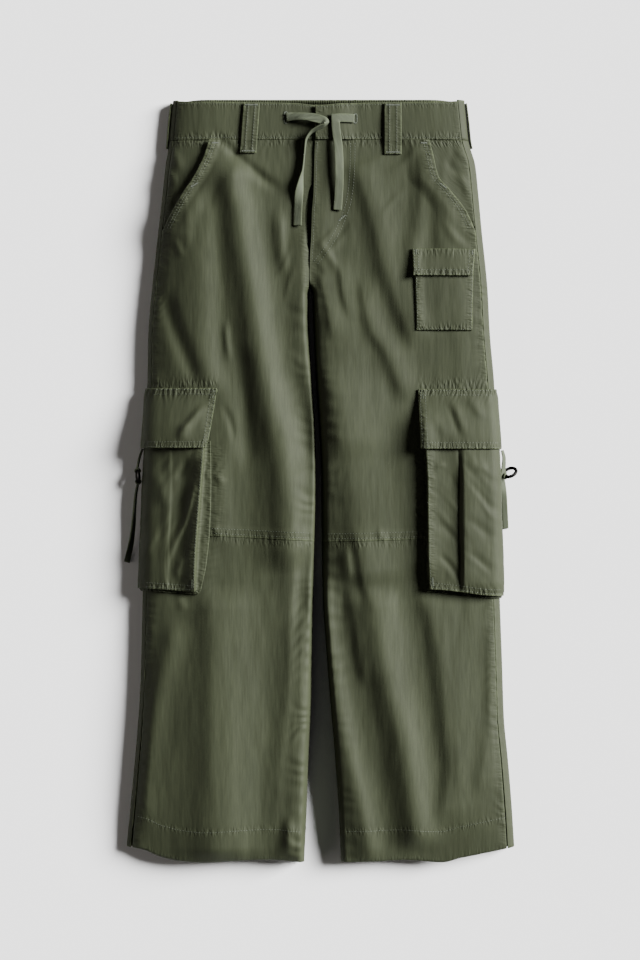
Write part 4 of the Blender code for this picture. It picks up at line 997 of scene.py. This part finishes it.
def front_lower(side):
    def place(levels, part):
        first, last = knee(side, part) + GAP / 2, hem(side, part)
        return first + (levels - KNEE_SEAM) / (LENGTH - KNEE_SEAM) * (last - first)

    def seams(across, down):
        above_hem = hem(side, width_part(side, across, down)) - down
        return 0.45 * near(above_hem - HEM_BAND, 4.0), 0.0

    levels = lines(KNEE_SEAM, LENGTH, 2.0, (KNEE_SEAM, LENGTH), reach=4.0)
    return front(side, "lower", levels, place, seams, worn=(0, 0.7, 0.2, 0),
                 sewn=(0.4, 0.3, 0.3, 0.2))


def back_grid(side, levels):
    """A back panel: from the inseam down to the floor, along it, round the leg's side and up
    to the side seam on the front."""
    sign, inset = SIGN[side], SEAM_INSET[side] - GAP / 2
    turn_in = np.sin(np.radians(lines(90.0, 0.0, 9.0)))
    flat = lines(0.0, 1.0, 0.03)[1:-1]
    seam = np.degrees(np.arccos(1 - inset / SHOULDER[side]))
    around = np.concatenate([lines(-90.0, 0.0, 9.0), lines(0.0, seam, 3.0)[1:]])
    down = levels[:, None]
    close, rim = closing(down), through(HEIGHT, 2, down)
    inner = (1 - close) * (CENTRE_BACK + sign * GAP / 2) + close * inner_edge(side, down)
    edge = sign * side_edge(side, down)
    turned = inner + sign * UNDER * (1 - turn_in)
    turned_height = close * (rim - INSEAM_GAP) * (1 - quarter(1 - turn_in))
    along = inner + sign * UNDER + flat * (edge - inner - 2 * sign * UNDER)
    uneven = ease((noise(along, down, (22.0, 90.0), 60) - 0.25) / 0.6)
    width = np.where(around > 0, SHOULDER[side], UNDER)
    sides = edge - sign * width * (1 - np.cos(np.radians(around)))
    side_height = np.where(around > 0, top(side, sides, down),
                           rim * (1 + np.sin(np.radians(around))))
    inset_now = np.abs(sides) - np.abs(edge) + inset
    side_height = side_height + (around > 0) * (
        pucker("side", down, inset_now, 50) - rolled(inset_now, 0.25))
    across = np.concatenate([turned, along, sides], axis=1)
    height = np.concatenate([turned_height, uneven * 1.6 * np.sin(pi * flat), side_height], axis=1)
    part = width_part(side, across, down)
    moved = down + ease((down - 640) / (LENGTH - 640)) * (hem(side, part) - LENGTH)
    return points(across, moved, height)


def back(side):
    levels = lines(WAIST_SEAM + GAP / 2, LENGTH, 3.4, (WAIST_SEAM, CROTCH), fine=1.0)
    return skin(f"back_{side}", back_grid(side, levels), CLOTH, facing=(0.0, 0.0, -1.0),
                worn=(0, 0.5, 0, 0.4))


def hip_facing(side):
    """The slant pocket's bearer, from the side seam to a little way under the front."""
    levels = lines(WAIST_SEAM + GAP / 2, OPENING_END - 4, 1.8)[:, None]
    seam = side_edge(side, levels) - SEAM_INSET[side] - GAP / 2
    edge = np.minimum(through(HIP_OPENING, COLUMN[side], levels), seam - 0.5)
    shown = np.linspace(0.0, 1.0, 22)
    under = np.linspace(0.0, FACING_UNDERLAP, 8)[1:]
    across = np.concatenate([between((seam, edge), shown), edge - under], axis=1) * SIGN[side]
    down = np.broadcast_to(levels, across.shape)
    sunk = np.concatenate([ease(shown) * 0.6, 0.6 + under / FACING_UNDERLAP * 0.6])
    height = top(side, across, down) - sunk + crumple(across, down, 70)
    height += fold_height(LEG_CREASES, across, down) - rolled(seam - np.abs(across))
    return skin(f"hip_facing_{side}", points(across, down, height), CLOTH,
                sewn=(0.8, 0, 0.4, 0))


def fly_shield():
    """The strip behind the fly edge."""
    across, down = np.meshgrid(np.linspace(-27.0, 4.0, 24),
                               lines(WAIST_SEAM + GAP / 2, 182.0, 2.0))
    height = top("right", across, down) - CLOTH - 1.3 + crumple(across, down, 72)
    return skin("fly_shield", points(across, down, height), CLOTH)


# Waist


def band_height(side, across, down):
    """Height of a front waistband's outer face. The left one's end laps the right one."""
    lap = BAND_RAISE * (1 - ramp(across, LAP_SPAN)) if side == "left" else 0.0
    return top(side, across, down) + SEATED + lap + crumple(across, down, 74, 0.7)


def band_point(side, part, step):
    """A point of a front waistband: part 0 is at the side seam and 1 at the centre, step 0 at
    the top edge and 1 at the waist seam."""
    half = side_edge(side, BAND_MIDDLE)
    outer = SIGN[side] * (half - SEAM_INSET[side] - BAND_GAP)
    inner = BAND_END[side]
    across = between((outer, inner), part)
    first = through(BAND_TOP, 1, across)
    down = between((first, WAIST_SEAM - GAP / 2), step)
    across = across + SIGN[side] * (side_edge(side, down) - half) * (1 - part)
    seed = 76 + SEED[side] // 10
    height = band_height(side, across, down) + pucker(
        "band seam", across, WAIST_SEAM - down, seed)
    height = height + pucker("band top", across, down - first, seed + 10)
    length = np.abs(outer - inner)
    for distance in (down - first, part * length, (1 - part) * length):
        height = height - rolled(distance)
    return points(across, down, height - rolled(WAIST_SEAM - down, 0.2))


def band_front(side):
    part, step = np.meshgrid(lines(0.0, 1.0, 0.009, (0.0, 1.0), fine=0.003, reach=0.015),
                             lines(0.0, 1.0, 0.045, (0.0, 1.0), fine=0.012, reach=0.05))
    return skin(f"waistband_front_{side}", band_point(side, part, step), BAND,
                worn=(0.6, 0.2, 0, 0.5), sewn=(0.4, 0.7, 0.3, 0.5))


def band_back():
    """The elasticated back waistband, gathered on its inner face where it lies on the floor."""
    first, last = BAND_TOP[0, 1], WAIST_SEAM - GAP / 2
    levels = lines(first, last, 3.5, (first,), fine=0.6, reach=2.0)[:, None]
    turned = {}
    for side in SIDES:
        seam = np.degrees(np.arccos(1 - (SEAM_INSET[side] - BAND_GAP) / SHOULDER[side]))
        angle = np.concatenate([lines(-60.0, 0.0, 8.0), lines(0.0, seam, 3.5)[1:]])
        turned[side] = round_side(side, levels, angle, 0.0)
    ends = [SIGN[side] * (side_edge(side, levels) - UNDER) for side in SIDES]
    part = np.linspace(0.0, 1.0, 4 * GATHERS + 1)
    higher = (first - BACK_BAND_TOP) * ease(part / 0.08) * ease((1 - part) / 0.08)
    curl = BACK_CURL[0] * (1 - ease((levels - first) / BACK_CURL[1])) * ease(part / 0.1) * ease(
        (1 - part) / 0.1)
    flat = points(between(ends, part), levels - higher * (last - levels) / (last - first), curl)
    grid = np.concatenate([turned["right"][:, ::-1], flat, turned["left"]], axis=1)
    wave = GATHER_THIN + (1 - GATHER_THIN) * (0.5 + 0.5 * np.cos(2 * pi * GATHERS * part))
    plain = (np.ones(turned[side].shape[1]) for side in SIDES)
    return skin("waistband_back", grid, BAND, facing=(0.0, 0.0, -1.0), worn=(0.8, 0, 0, 0),
                thin=np.concatenate([next(plain), wave, next(plain)]))


def loop_point(side, part, step):
    """A point of a front belt loop: part runs over its width and step down it."""
    loop = FRONT_LOOPS[side]
    off = (part - 0.5) * loop["width"]
    down, across = between(loop["levels"], step), between(loop["across"], step) + off
    height = top(side, across, down) + 0.8 * ease((WAIST_SEAM + 6 - down) / 6)
    height = height + 0.8 * np.sin(pi * step) + LOOP + SEATED
    tuck = 0.35 * near(np.abs(off) - 3.9, 1.1)
    height = height + tuck + 0.12 * noise(across, down, (4.0, 12.0), 80)
    for distance in (down - loop["levels"][0], loop["levels"][1] - down,
                     loop["width"] / 2 - np.abs(off)):
        height = height - rolled(distance)
    return points(across, down, height)


def belt_loop_front(side):
    part, step = np.meshgrid(lines(0.0, 1.0, 0.05, (0.0, 1.0), fine=0.02, reach=0.08),
                             lines(0.0, 1.0, 0.025, (0.0, 1.0), fine=0.008, reach=0.03))
    return skin(f"belt_loop_front_{side}", loop_point(side, part, step), LOOP,
                worn=(0.3, 0.4, 0.5, 0.5), sewn=(0.4, 0.6, 0.4, 0.4))


def belt_loop_side(side):
    """A side belt loop, seen edge-on: it stands off the band's side."""
    step = lines(0.0, 1.0, 0.03)[:, None]
    lift = LOOP + 0.9 + SIDE_LOOP_BOW * np.sin(pi * step) ** 0.7
    grid = round_side(side, between(SIDE_LOOP_LEVELS, step), np.linspace(*SIDE_LOOP_TURN, 20), lift)
    return skin(f"belt_loop_side_{side}", grid, LOOP, facing=(SIGN[side], 0.0, 0.0),
                worn=(0.4, 0.4, 0.8, 0.8))


# Pockets


def pocket_lift(side, down):
    """How far a cargo pocket's face stands over the leg along its front edge."""
    part = np.clip((down - 380) / 170, 0, 1)
    return POCKET_LIFT[side] * (0.93 + 0.1 * np.sin(pi * part))


def pocket_bottom(side, part):
    return between(POCKET_BOTTOM[side], ease(part))


def over_side(side, front, level, u, wrap):
    """Where a pocket's or a flap's points lie. U runs over its width to 1, and on round the
    leg's side to 2 at the angle of the wrap. Gives how far from the centre line they are, the
    leg's edge and where it starts to turn, and the angle."""
    edge = side_edge(side, level)
    shoulder = edge - SHOULDER[side]
    angle = 90 - np.clip(u - 1, 0, 1) * (90 - wrap)
    turned = edge - SHOULDER[side] * (1 - np.cos(np.radians(angle)))
    return np.where(u < 1, between((front, shoulder), u), turned), edge, shoulder, angle


def laid_over_side(side, u, signed, down, angle, lift, around):
    """Those points, lifted off the leg's top and, past u 1, out of its side."""
    flat = points(signed, down, top(side, signed, down) + lift)
    return np.where((u < 1)[..., None], flat, round_side(side, down, angle, around))


def pocket_point(side, u, v):
    """A point of a cargo pocket's face: v runs from its mouth to its bottom."""
    u, v = np.broadcast_arrays(u, v)
    middle_bottom = pocket_bottom(side, 0.5)
    level = between((POCKET_MOUTH, middle_bottom), v)
    front, pleat, stand = (through(POCKET[side], c, level) for c in (1, 3, 4))
    across, edge, shoulder, angle = over_side(side, front, level, u, POCKET_WRAP)
    down = level + v * (pocket_bottom(side, (across - front) / (edge - front)) - middle_bottom)
    above = middle_bottom - down
    first = front if side == "right" else pleat
    tilt = POCKET_TILT[side] * ease((across - first) / (shoulder - first))
    pleated = ease(above / 14 + 0.15)
    stepped = PANEL_STEP[side] * ease((down - 380) / 40) * pleated * ease(
        (across - pleat + 1.2) / 2.4)
    full = pocket_lift(side, down) * (1 + tilt) + stepped
    up = np.abs(np.sin(np.radians(angle))) ** SIDE_FALL[side]
    around = np.where(angle > 0, between((stand, full), up),
                      between((stand, CLOTH + 0.5), angle / POCKET_WRAP))
    groove = PLEAT_DEPTH[side] * near(across - pleat + 2.0, PLEAT_WIDTH[side]) * pleated
    seed, signed = 90 + SEED[side], SIGN[side] * across
    extra = fold_height(POCKET_FOLDS[side], signed, down) * ease((angle + 10) / 60)
    extra += crumple(signed, down, seed) + slanted(side, signed, down, seed + 6)
    extra += pucker("pocket bottom", signed, above, seed + 2)
    extra += pucker("pocket front", down, across - front, seed + 4)
    extra -= rolled(across - front) + rolled(above)
    return laid_over_side(side, u, signed, down, angle, full - groove + extra, around + extra)


def cargo_pocket(side):
    u = np.concatenate([lines(0.0, 1.0, 0.026, (0.0, PLEAT_PART[side]), fine=0.01, reach=0.05),
                        1 + lines(0.0, 1.0, 0.05)[1:]])
    v = lines(0.0, 1.0, 0.0105, (1.0,), fine=0.004, reach=0.02)
    grid = pocket_point(side, *np.meshgrid(u, v))
    return skin(f"cargo_pocket_{side}", grid, CLOTH, facing=(SIGN[side] * 0.3, 0, 1),
                worn=(0, 0.6, 0.6, 0.4), sewn=(0, 0.8, 0.5, 0.4))


def cargo_gusset(side):
    """The gusset under the face's front edge and bottom, from just below the face down to the
    leg: down the front edge, along the bottom, then round the leg's side."""
    drop = np.array([0.0, 0.0, CLOTH + GAP])
    face = pocket_point(side, 0.0, lines(0.0, 0.985, 0.012))
    down = LENGTH / 2 - face[:, 1]
    across = SIGN[side] * through(POCKET[side], 2, down)
    upper, lower = [face - drop], [points(across, down, top(side, across, down) + POCKET_SEAT)]

    u = lines(0.0, 1.0, 0.03)
    face = pocket_point(side, u, 1.0)
    down = LENGTH / 2 - face[:, 1] + 3.0
    across = face[:, 0] - SIGN[side] * 4.0 * (1 - ease(u / 0.1))
    upper.append(face - drop * 1.6)
    lower.append(points(across, down, top(side, across, down) + POCKET_SEAT))

    u = lines(1.06, 2.0, 0.05)
    angle = 90 - (u - 1) * (90 - POCKET_WRAP)
    face = pocket_point(side, u, 1.0)
    down = LENGTH / 2 - face[:, 1]
    core = round_side(side, down, angle, 0.0)
    reach = np.linalg.norm(face - core, axis=1)[:, None]
    shorter = (face - core) * (1 - (CLOTH + GAP) / reach)
    kept = np.linalg.norm(shorter, axis=1) > POCKET_SEAT
    upper.append((core + shorter)[kept])
    lower.append(round_side(side, down + 3.0, angle, POCKET_SEAT - 0.4)[kept])

    upper, lower = np.concatenate(upper), np.concatenate(lower)
    part = (np.linspace(0.0, 1.0, 15) ** 1.6)[None, :]
    grid = upper[:, None] * (1 - part[..., None]) + lower[:, None] * part[..., None]
    grid[..., 2] += (1 - (1 - part) ** 11 - part) * (lower - upper)[:, None, 2]
    wave = noise(arc(upper[:, None], 0), part * 12, (5.0, 7.0), 130)
    grid[..., 2] += 0.8 * wave * np.sin(pi * part)
    return skin(f"cargo_gusset_{side}", grid, CLOTH, facing=(-SIGN[side], -1.0, 0.2),
                worn=(0, 0, 0.3, 0.2), sewn=(0.2, 0.2, 0.5, 0.5))


def flap_point(side, u, v):
    """A point of a cargo pocket's flap: v runs from its seam to its lower edge."""
    flap = CARGO_FLAP[side]
    u, v = np.broadcast_arrays(u, v)
    level = between(flap[[0, -1], 0], v)
    front, full = through(flap, 1, level), through(flap, 2, level)
    across, _, _, angle = over_side(side, front, level, u, FLAP_WRAP)
    lift = np.maximum(full * (0.84 + 0.16 * ease((across - front) / 6)), FLAP + 0.6)
    up = np.sin(np.radians(np.maximum(angle, 0.0))) ** SIDE_FALL[side]
    around = between((np.minimum(FLAP_SIDE, full), full), up)
    seed, signed = 140 + SEED[side], SIGN[side] * across
    below, above = level - flap[0, 0], flap[-1, 0] - level
    extra = fold_height(FLAP_FOLDS[side], signed, level) * ease(below / 12) * ease(
        (angle + 10) / 60)
    extra += crumple(signed, level, seed)
    extra += pucker("flap seam", signed + 0.3 * level, below, seed + 2)
    extra += pucker("flap edge", signed, above, seed + 4)
    extra += pucker("flap front", level, across - front, seed + 6)
    extra -= rolled(across - front) + rolled(above) + rolled(below)
    return laid_over_side(side, u, signed, level, angle, lift + extra, around + extra)


def cargo_flap(side):
    u = np.concatenate([lines(0.0, 1.0, 0.022, (0.0,), fine=0.008, reach=0.03),
                        1 + lines(0.0, 1.0, 0.06)[1:]])
    v = lines(0.0, 1.0, 0.022, (0.0, 1.0), fine=0.009, reach=0.05)
    grid = flap_point(side, *np.meshgrid(u, v))
    return skin(f"cargo_flap_{side}", grid, FLAP, facing=(SIGN[side] * 0.3, 0, 1),
                worn=(0.4, 0.7, 0.6, 0.5), sewn=(0.9, 0.8, 0.6, 0.4))


def patch_point(name, part, step):
    """A point of a patch on the left front."""
    patch = COIN_PATCHES[name]
    inner, outer, down, lift = (
        between(patch[key], step) for key in ("inner", "outer", "levels", "lifts"))
    across, (first, last), seed = between((inner, outer), part), patch["levels"], patch["seed"]
    swell = np.sin(pi * np.clip(part, 0, 1)) ** 0.5
    lift = lift + patch["bulge"] * swell * np.sin(pi * (0.15 + 0.85 * step)) ** 0.5
    lift = lift + crumple(across, down, seed) + pucker("patch bottom", across, last - down, seed)
    lift = lift + pucker("patch top", across, down - first, seed + 3)
    for distance in (across - inner, outer - across, last - down, down - first):
        lift = lift - rolled(distance, 0.6)
    return points(across, down, top("left", across, down) + lift)


def coin_patch(name):
    part, step = np.meshgrid(lines(0.0, 1.0, 0.025, (0.0, 1.0), fine=0.01, reach=0.04),
                             lines(0.0, 1.0, 0.03, (0.0, 1.0), fine=0.012, reach=0.05))
    return skin(name, patch_point(name, part, step), COIN_PATCHES[name]["wall"],
                worn=(0.4, 0.9, 0.8, 0.8), sewn=(0.7, 0.9, 0.7, 0.7))


# Tapes and rings


def tape_route(route, count, over=None):
    """Middle points of a tape's outer face, and its lean in radians. Over gives the surface
    that heights are measured from, or none."""
    steps = np.concatenate([[0.0], np.cumsum(np.hypot(*np.diff(route[:, :2], axis=0).T))])
    rows = np.column_stack([steps, route])
    at = np.linspace(0.0, steps[-1], count)
    across, down, height, lean = (through(rows, c, at) for c in (1, 2, 3, 4))
    if over is not None:
        height = height + over(across, down)
    return points(across, down, height), np.radians(lean)[:, None]


SHARP = 0.5  # cosine of the turn from which a tape is folded square
TWIST = (5.0, 15.0, 0.55)  # a crushed tape's ridges: apart across it and along it, and height
CRUSHED = {"right": 40.0, "left": 0.0}  # length crushed at a drawstring's buttonhole


def tape(name, route, width, count, over=None, crushed=0.0):
    """A flat tape along a route, its width leaning out of the surface. The crushed length at its
    start has twisted ridges."""
    middle, lean = tape_route(route, count, over)
    ahead = np.diff(middle, axis=0)
    ahead[:, 2] = 0.0
    ahead /= np.linalg.norm(ahead, axis=1)[:, None]
    ahead = np.concatenate([ahead[:1], ahead, ahead[-1:]])
    turned = (ahead[:-1] * ahead[1:]).sum(axis=1)
    corner = np.flatnonzero(turned < SHARP)
    ahead = (ahead[:-1] + ahead[1:]) / (1 + turned)[:, None]
    for at in corner:
        from_corner = np.linalg.norm(middle - middle[at], axis=1)
        kept = (from_corner > width / 2) | (from_corner == 0)
        middle, ahead, lean = middle[kept], ahead[kept], lean[kept]
    level = np.column_stack([ahead[:, 1], -ahead[:, 0], np.zeros(len(ahead))])
    wide = level * np.cos(lean) + np.array([0.0, 0.0, 1.0]) * np.sin(lean)
    centre = middle + np.array([0.0, 0.0, 0.5]) * width * np.sin(lean)
    part = np.linspace(-0.5, 0.5, 15)
    grid = centre[:, None] + wide[:, None] * width * part[None, :, None]
    grid[..., 2] -= 0.25 * near((0.5 - np.abs(part)) * width, 0.8)
    run = arc(centre[:, None], 0)
    grid[..., 2] += 0.12 * noise(run, part[None, :] * width, (9.0, 7.0), 190)
    if crushed:
        twist = part[None, :] * width / TWIST[0] + run / TWIST[1] + 0.15 * noise(
            run, part[None, :] * width, (8.0, 5.0), 192)
        grid[..., 2] += TWIST[2] * ease((crushed - run) / 10) * np.sin(2 * pi * twist)
    made = skin(name, grid, TAPE, finish="tape", worn=(0.2, 0.6, 0.5, 0.5))
    return made


def drawstring(side):
    """A drawstring's free end, from its buttonhole over the waistband and down the front."""
    return tape(f"drawstring_{side}", DRAWSTRINGS[side], DRAWSTRING_WIDTH, 150,
                partial(top, side), CRUSHED[side])


def ring_turn(side):
    turns = (0.0, *np.radians(RINGS[side]["turns"]).tolist())
    return Euler(turns).to_matrix()


def ring_row(side, tape_name):
    """A tape's row where it meets the ring from outside, a gap off its wire."""
    shape, lean = RINGS[side], RING_LEAN[side]
    reach, angle = shape["across"] / 2 + GAP, radians(shape[tape_name])
    off = ring_turn(side) @ Vector((reach * cos(angle), reach * sin(angle), 0))
    across, down, height = shape["centre"]
    settle = TAPE / 2 * cos(radians(lean)) - TIE_WIDTH / 2 * sin(radians(lean))
    return (across + off.x, down - off.y, height + off.z + settle, lean)


def round_wire(side, along, around, thick):
    """Points at the given angles along the ring and around its wire, out to a thickness."""
    along, around = np.meshgrid(along, around)
    radius = (RINGS[side]["across"] - RING_WIRE) / 2 + thick * np.cos(around)
    local = np.stack([radius * np.cos(along), radius * np.sin(along), thick * np.sin(around)],
                     axis=-1)
    across, down, height = RINGS[side]["centre"]
    return local @ np.array(ring_turn(side)).T + [across, LENGTH / 2 - down, height]


def ring(side):
    """A closed wire ring, round in section."""
    world = round_wire(side, np.linspace(0, 2 * pi, 64, endpoint=False),
                       np.linspace(0, 2 * pi, 20, endpoint=False), RING_WIRE / 2)
    index = np.arange(20 * 64).reshape(20, 64)
    after = np.roll(index, -1, axis=1)
    faces = np.stack([index, after, np.roll(after, -1, axis=0), np.roll(index, -1, axis=0)],
                     axis=-1).reshape(-1, 4)
    made = new_object(f"pocket_ring_{side}", world.reshape(-1, 3), faces, FINISHES["metal"])
    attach(made, "root")
    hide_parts(f"pocket_ring_{side}")
    return made


def ring_loop(side, tape_name, node):
    """A tape's turn round the ring's wire: part of a thicker ring round the same circle."""
    middle, half = radians(RINGS[side][tape_name]), TIE_WIDTH / RINGS[side]["across"]
    grid = round_wire(side, np.linspace(middle - half, middle + half, 13),
                      np.linspace(0, 2 * pi, 25), RING_WIRE / 2 + TAPE + 0.3)
    return skin(f"{node}_loop", grid, TAPE, finish="tape", worn=(0, 0, 0.5, 0.5), node=node,
                closed=True)


def pocket_tie(side):
    """The ring at a cargo pocket, the tab that holds it and the tape that hangs from it."""
    tab_name, tie_name = f"pocket_tab_{side}", f"pocket_tape_{side}"
    ring(side)
    ring_loop(side, "tab", tab_name)
    ring_loop(side, "tie", tie_name)
    tape(tab_name, table(*TABS[side], ring_row(side, "tab")), TIE_WIDTH, 30)
    tape(tie_name, table(ring_row(side, "tie"), *TIES[side]), TIE_WIDTH, 110, None)


# Sewing


def on_front(side, across, down):
    """A row of points on a front panel."""
    return points(across, down, front_height(side, across, down))


def beside(path, off):
    """A path of (across, down) points moved aside by a distance."""
    path = np.array(path, float)
    rows = np.column_stack([np.linspace(0, 1, len(path)), path])
    at = np.linspace(0, 1, 80)
    line = np.column_stack([through(rows, 1, at), through(rows, 2, at)])
    ahead = np.gradient(line, axis=0)
    ahead /= np.linalg.norm(ahead, axis=1)[:, None]
    return line + off * np.column_stack([ahead[:, 1], -ahead[:, 0]])


FLY_CURVE = ((33, 46), (32, 80), (29, 108), (20, 135), (6, 160), (-8, 178))  # across, down
SEWN_LIFT = 0.07  # of a stitch's middle over the cloth
POCKET_DEEP, FLAP_WIDE = 163.0, 64.0  # a cargo pocket's face and flap, as the stitches see them


def sew_fronts():
    for side in SIDES:
        down, part = np.linspace(WAIST_SEAM + 3, OPENING_END - 2, 60), np.linspace(0.04, 0.97, 120)
        paths = [(SIGN[side] * (front_start(side, down) - inset), down) for inset in (4.4, 7.6)]
        for level in (knee(side, part) - 3.2, knee(side, part) - 8.6, hem(side, part) - HEM_BAND):
            ends = SIGN[side] * side_edge(side, level), inner_edge(side, level)
            paths.append((between(ends, part), level))
        if side == "left":
            down = np.linspace(WAIST_SEAM + 2, 176, 60)
            paths += [(inner_edge(side, down) + 2.4, down), beside(FLY_CURVE, 0.0).T,
                      beside(FLY_CURVE, 5.0).T]
        bars = [np.linspace(first, last, 12).T for first, last in BARTACKS[side]]
        rows, bars = ([on_front(side, *path) for path in some] for some in (paths, bars))
        sew(f"front_{side}_stitches", rows, bars, 0.04)


def sew_waist():
    for side in SIDES:
        part, step = np.linspace(0.01, 0.99, 160), np.linspace(0.0, 1.0, 40)
        rows = [band_point(side, part, level) for level in (0.06, 0.94)]
        rows += [loop_point(side, off, 0.06 + 0.88 * step) for off in (0.29, 0.71)]
        bars = [loop_point(side, 0.1 + 0.8 * step, level) for level in (0.96, 0.045)]
        middle, down, half, wide = BUTTONHOLES[side]
        turn = np.linspace(0.0, 2 * pi, 80)
        around = middle + wide * np.cos(turn)
        along = down + wide * np.sin(turn) + half * np.tanh(3 * np.sin(turn))
        bars.append(points(around, along, band_height(side, around, along) + 0.18))
        sew(f"waistband_{side}_stitches", rows, bars, SEWN_LIFT)


def sew_pockets():
    for side in SIDES:
        wide = side_edge(side, 450.0) - SHOULDER[side] - POCKET[side][1, 1]
        deep = CARGO_FLAP[side][-1, 0] - CARGO_FLAP[side][0, 0]
        u, v = np.linspace(0.03, 1.25, 120), np.linspace(0.04, 0.98, 90)
        end = np.linspace(0.04, 0.16, 12)
        rows = [pocket_point(side, 1.6 / wide, v)]
        rows += [pocket_point(side, u, 1 - above / POCKET_DEEP) for above in (2.0, 6.5)]
        rows += [flap_point(side, u, level) for inset in (1.8, 6.8)
                 for level in (1 - inset / deep, inset / deep)]
        rows += [flap_point(side, inset / FLAP_WIDE, v) for inset in (1.8, 6.4)]
        bars = [flap_point(side, 4.1 / FLAP_WIDE, end),
                pocket_point(side, 3.4 / wide, 1 - end / 2)]
        sew(f"cargo_pocket_{side}_stitches", rows, bars, SEWN_LIFT)
    rows, bars = [], []
    for name, insets in (("coin_pocket", (1.6,)), ("coin_flap", (1.6, 6.2))):
        wide = COIN_PATCHES[name]["outer"][0] - COIN_PATCHES[name]["inner"][0]
        deep = COIN_PATCHES[name]["levels"][1] - COIN_PATCHES[name]["levels"][0]
        at, end = np.linspace(0.02, 0.98, 60), np.linspace(1.0, 7.0, 12) / deep
        rows += [patch_point(name, part, step) for inset in insets for part, step in (
            (at, 1 - inset / deep), (inset / wide, at), (1 - inset / wide, at))]
        bars += [patch_point(name, part, end) for part in (3.6 / wide, 1 - 3.6 / wide)]
    sew("coin_pocket_stitches", rows, bars, SEWN_LIFT)


# Light and camera


def make_stage():
    """Camera over the middle, paper below, a low soft sun from the wearer's left and a weak
    wide fill from the right."""
    camera = bpy.data.objects.new("camera", bpy.data.cameras.new("camera"))
    camera.data.lens, camera.data.sensor_width = CAMERA["lens"], CAMERA["sensor"]
    camera.location, camera.data.clip_end = CAMERA["place"], CAMERA["far"]
    bpy.context.scene.collection.objects.link(camera)
    bpy.context.scene.camera = camera

    corners = np.array([[-1, -1, 0], [1, -1, 0], [1, 1, 0], [-1, 1, 0]]) * PAPER["half"]
    new_object("paper", corners - [0, 0, PAPER["drop"]], np.array([[0, 1, 2, 3]]),
                        FINISHES["paper"])

    for name, light, colour in (("sun", SUN, WHITE), ("fill", FILL, WARM)):
        sun = bpy.data.objects.new(name, bpy.data.lights.new(name, "SUN"))
        sun.data.energy, sun.data.angle = light["strength"], radians(light["angle"])
        sun.data.color = colour
        up, turn = radians(light["elevation"]), radians(light["turn"])
        away = Vector((cos(up) * cos(turn), cos(up) * sin(turn), sin(up)))
        sun.rotation_mode = "QUATERNION"
        sun.rotation_quaternion = away.to_track_quat("Z", "Y")
        bpy.context.scene.collection.objects.link(sun)

    world = bpy.data.worlds.new("sky")
    world.use_nodes = True
    background = world.node_tree.nodes["Background"]
    background.inputs["Color"].default_value = (*WHITE, 1.0)
    background.inputs["Strength"].default_value = SKY
    bpy.context.scene.world = world


def build():
    make_stage()
    for makers in ((drawstring, pocket_tie),
                   (front_upper, front_lower, back, hip_facing, band_front, belt_loop_front,
                    belt_loop_side, cargo_pocket, cargo_gusset, cargo_flap)):
        for side in SIDES:
            for maker in makers:
                maker(side)
    fly_shield()
    band_back()
    for name in COIN_PATCHES:
        coin_patch(name)
    sew_fronts()
    sew_waist()
    sew_pockets()


FINISHES = make_materials()
build()
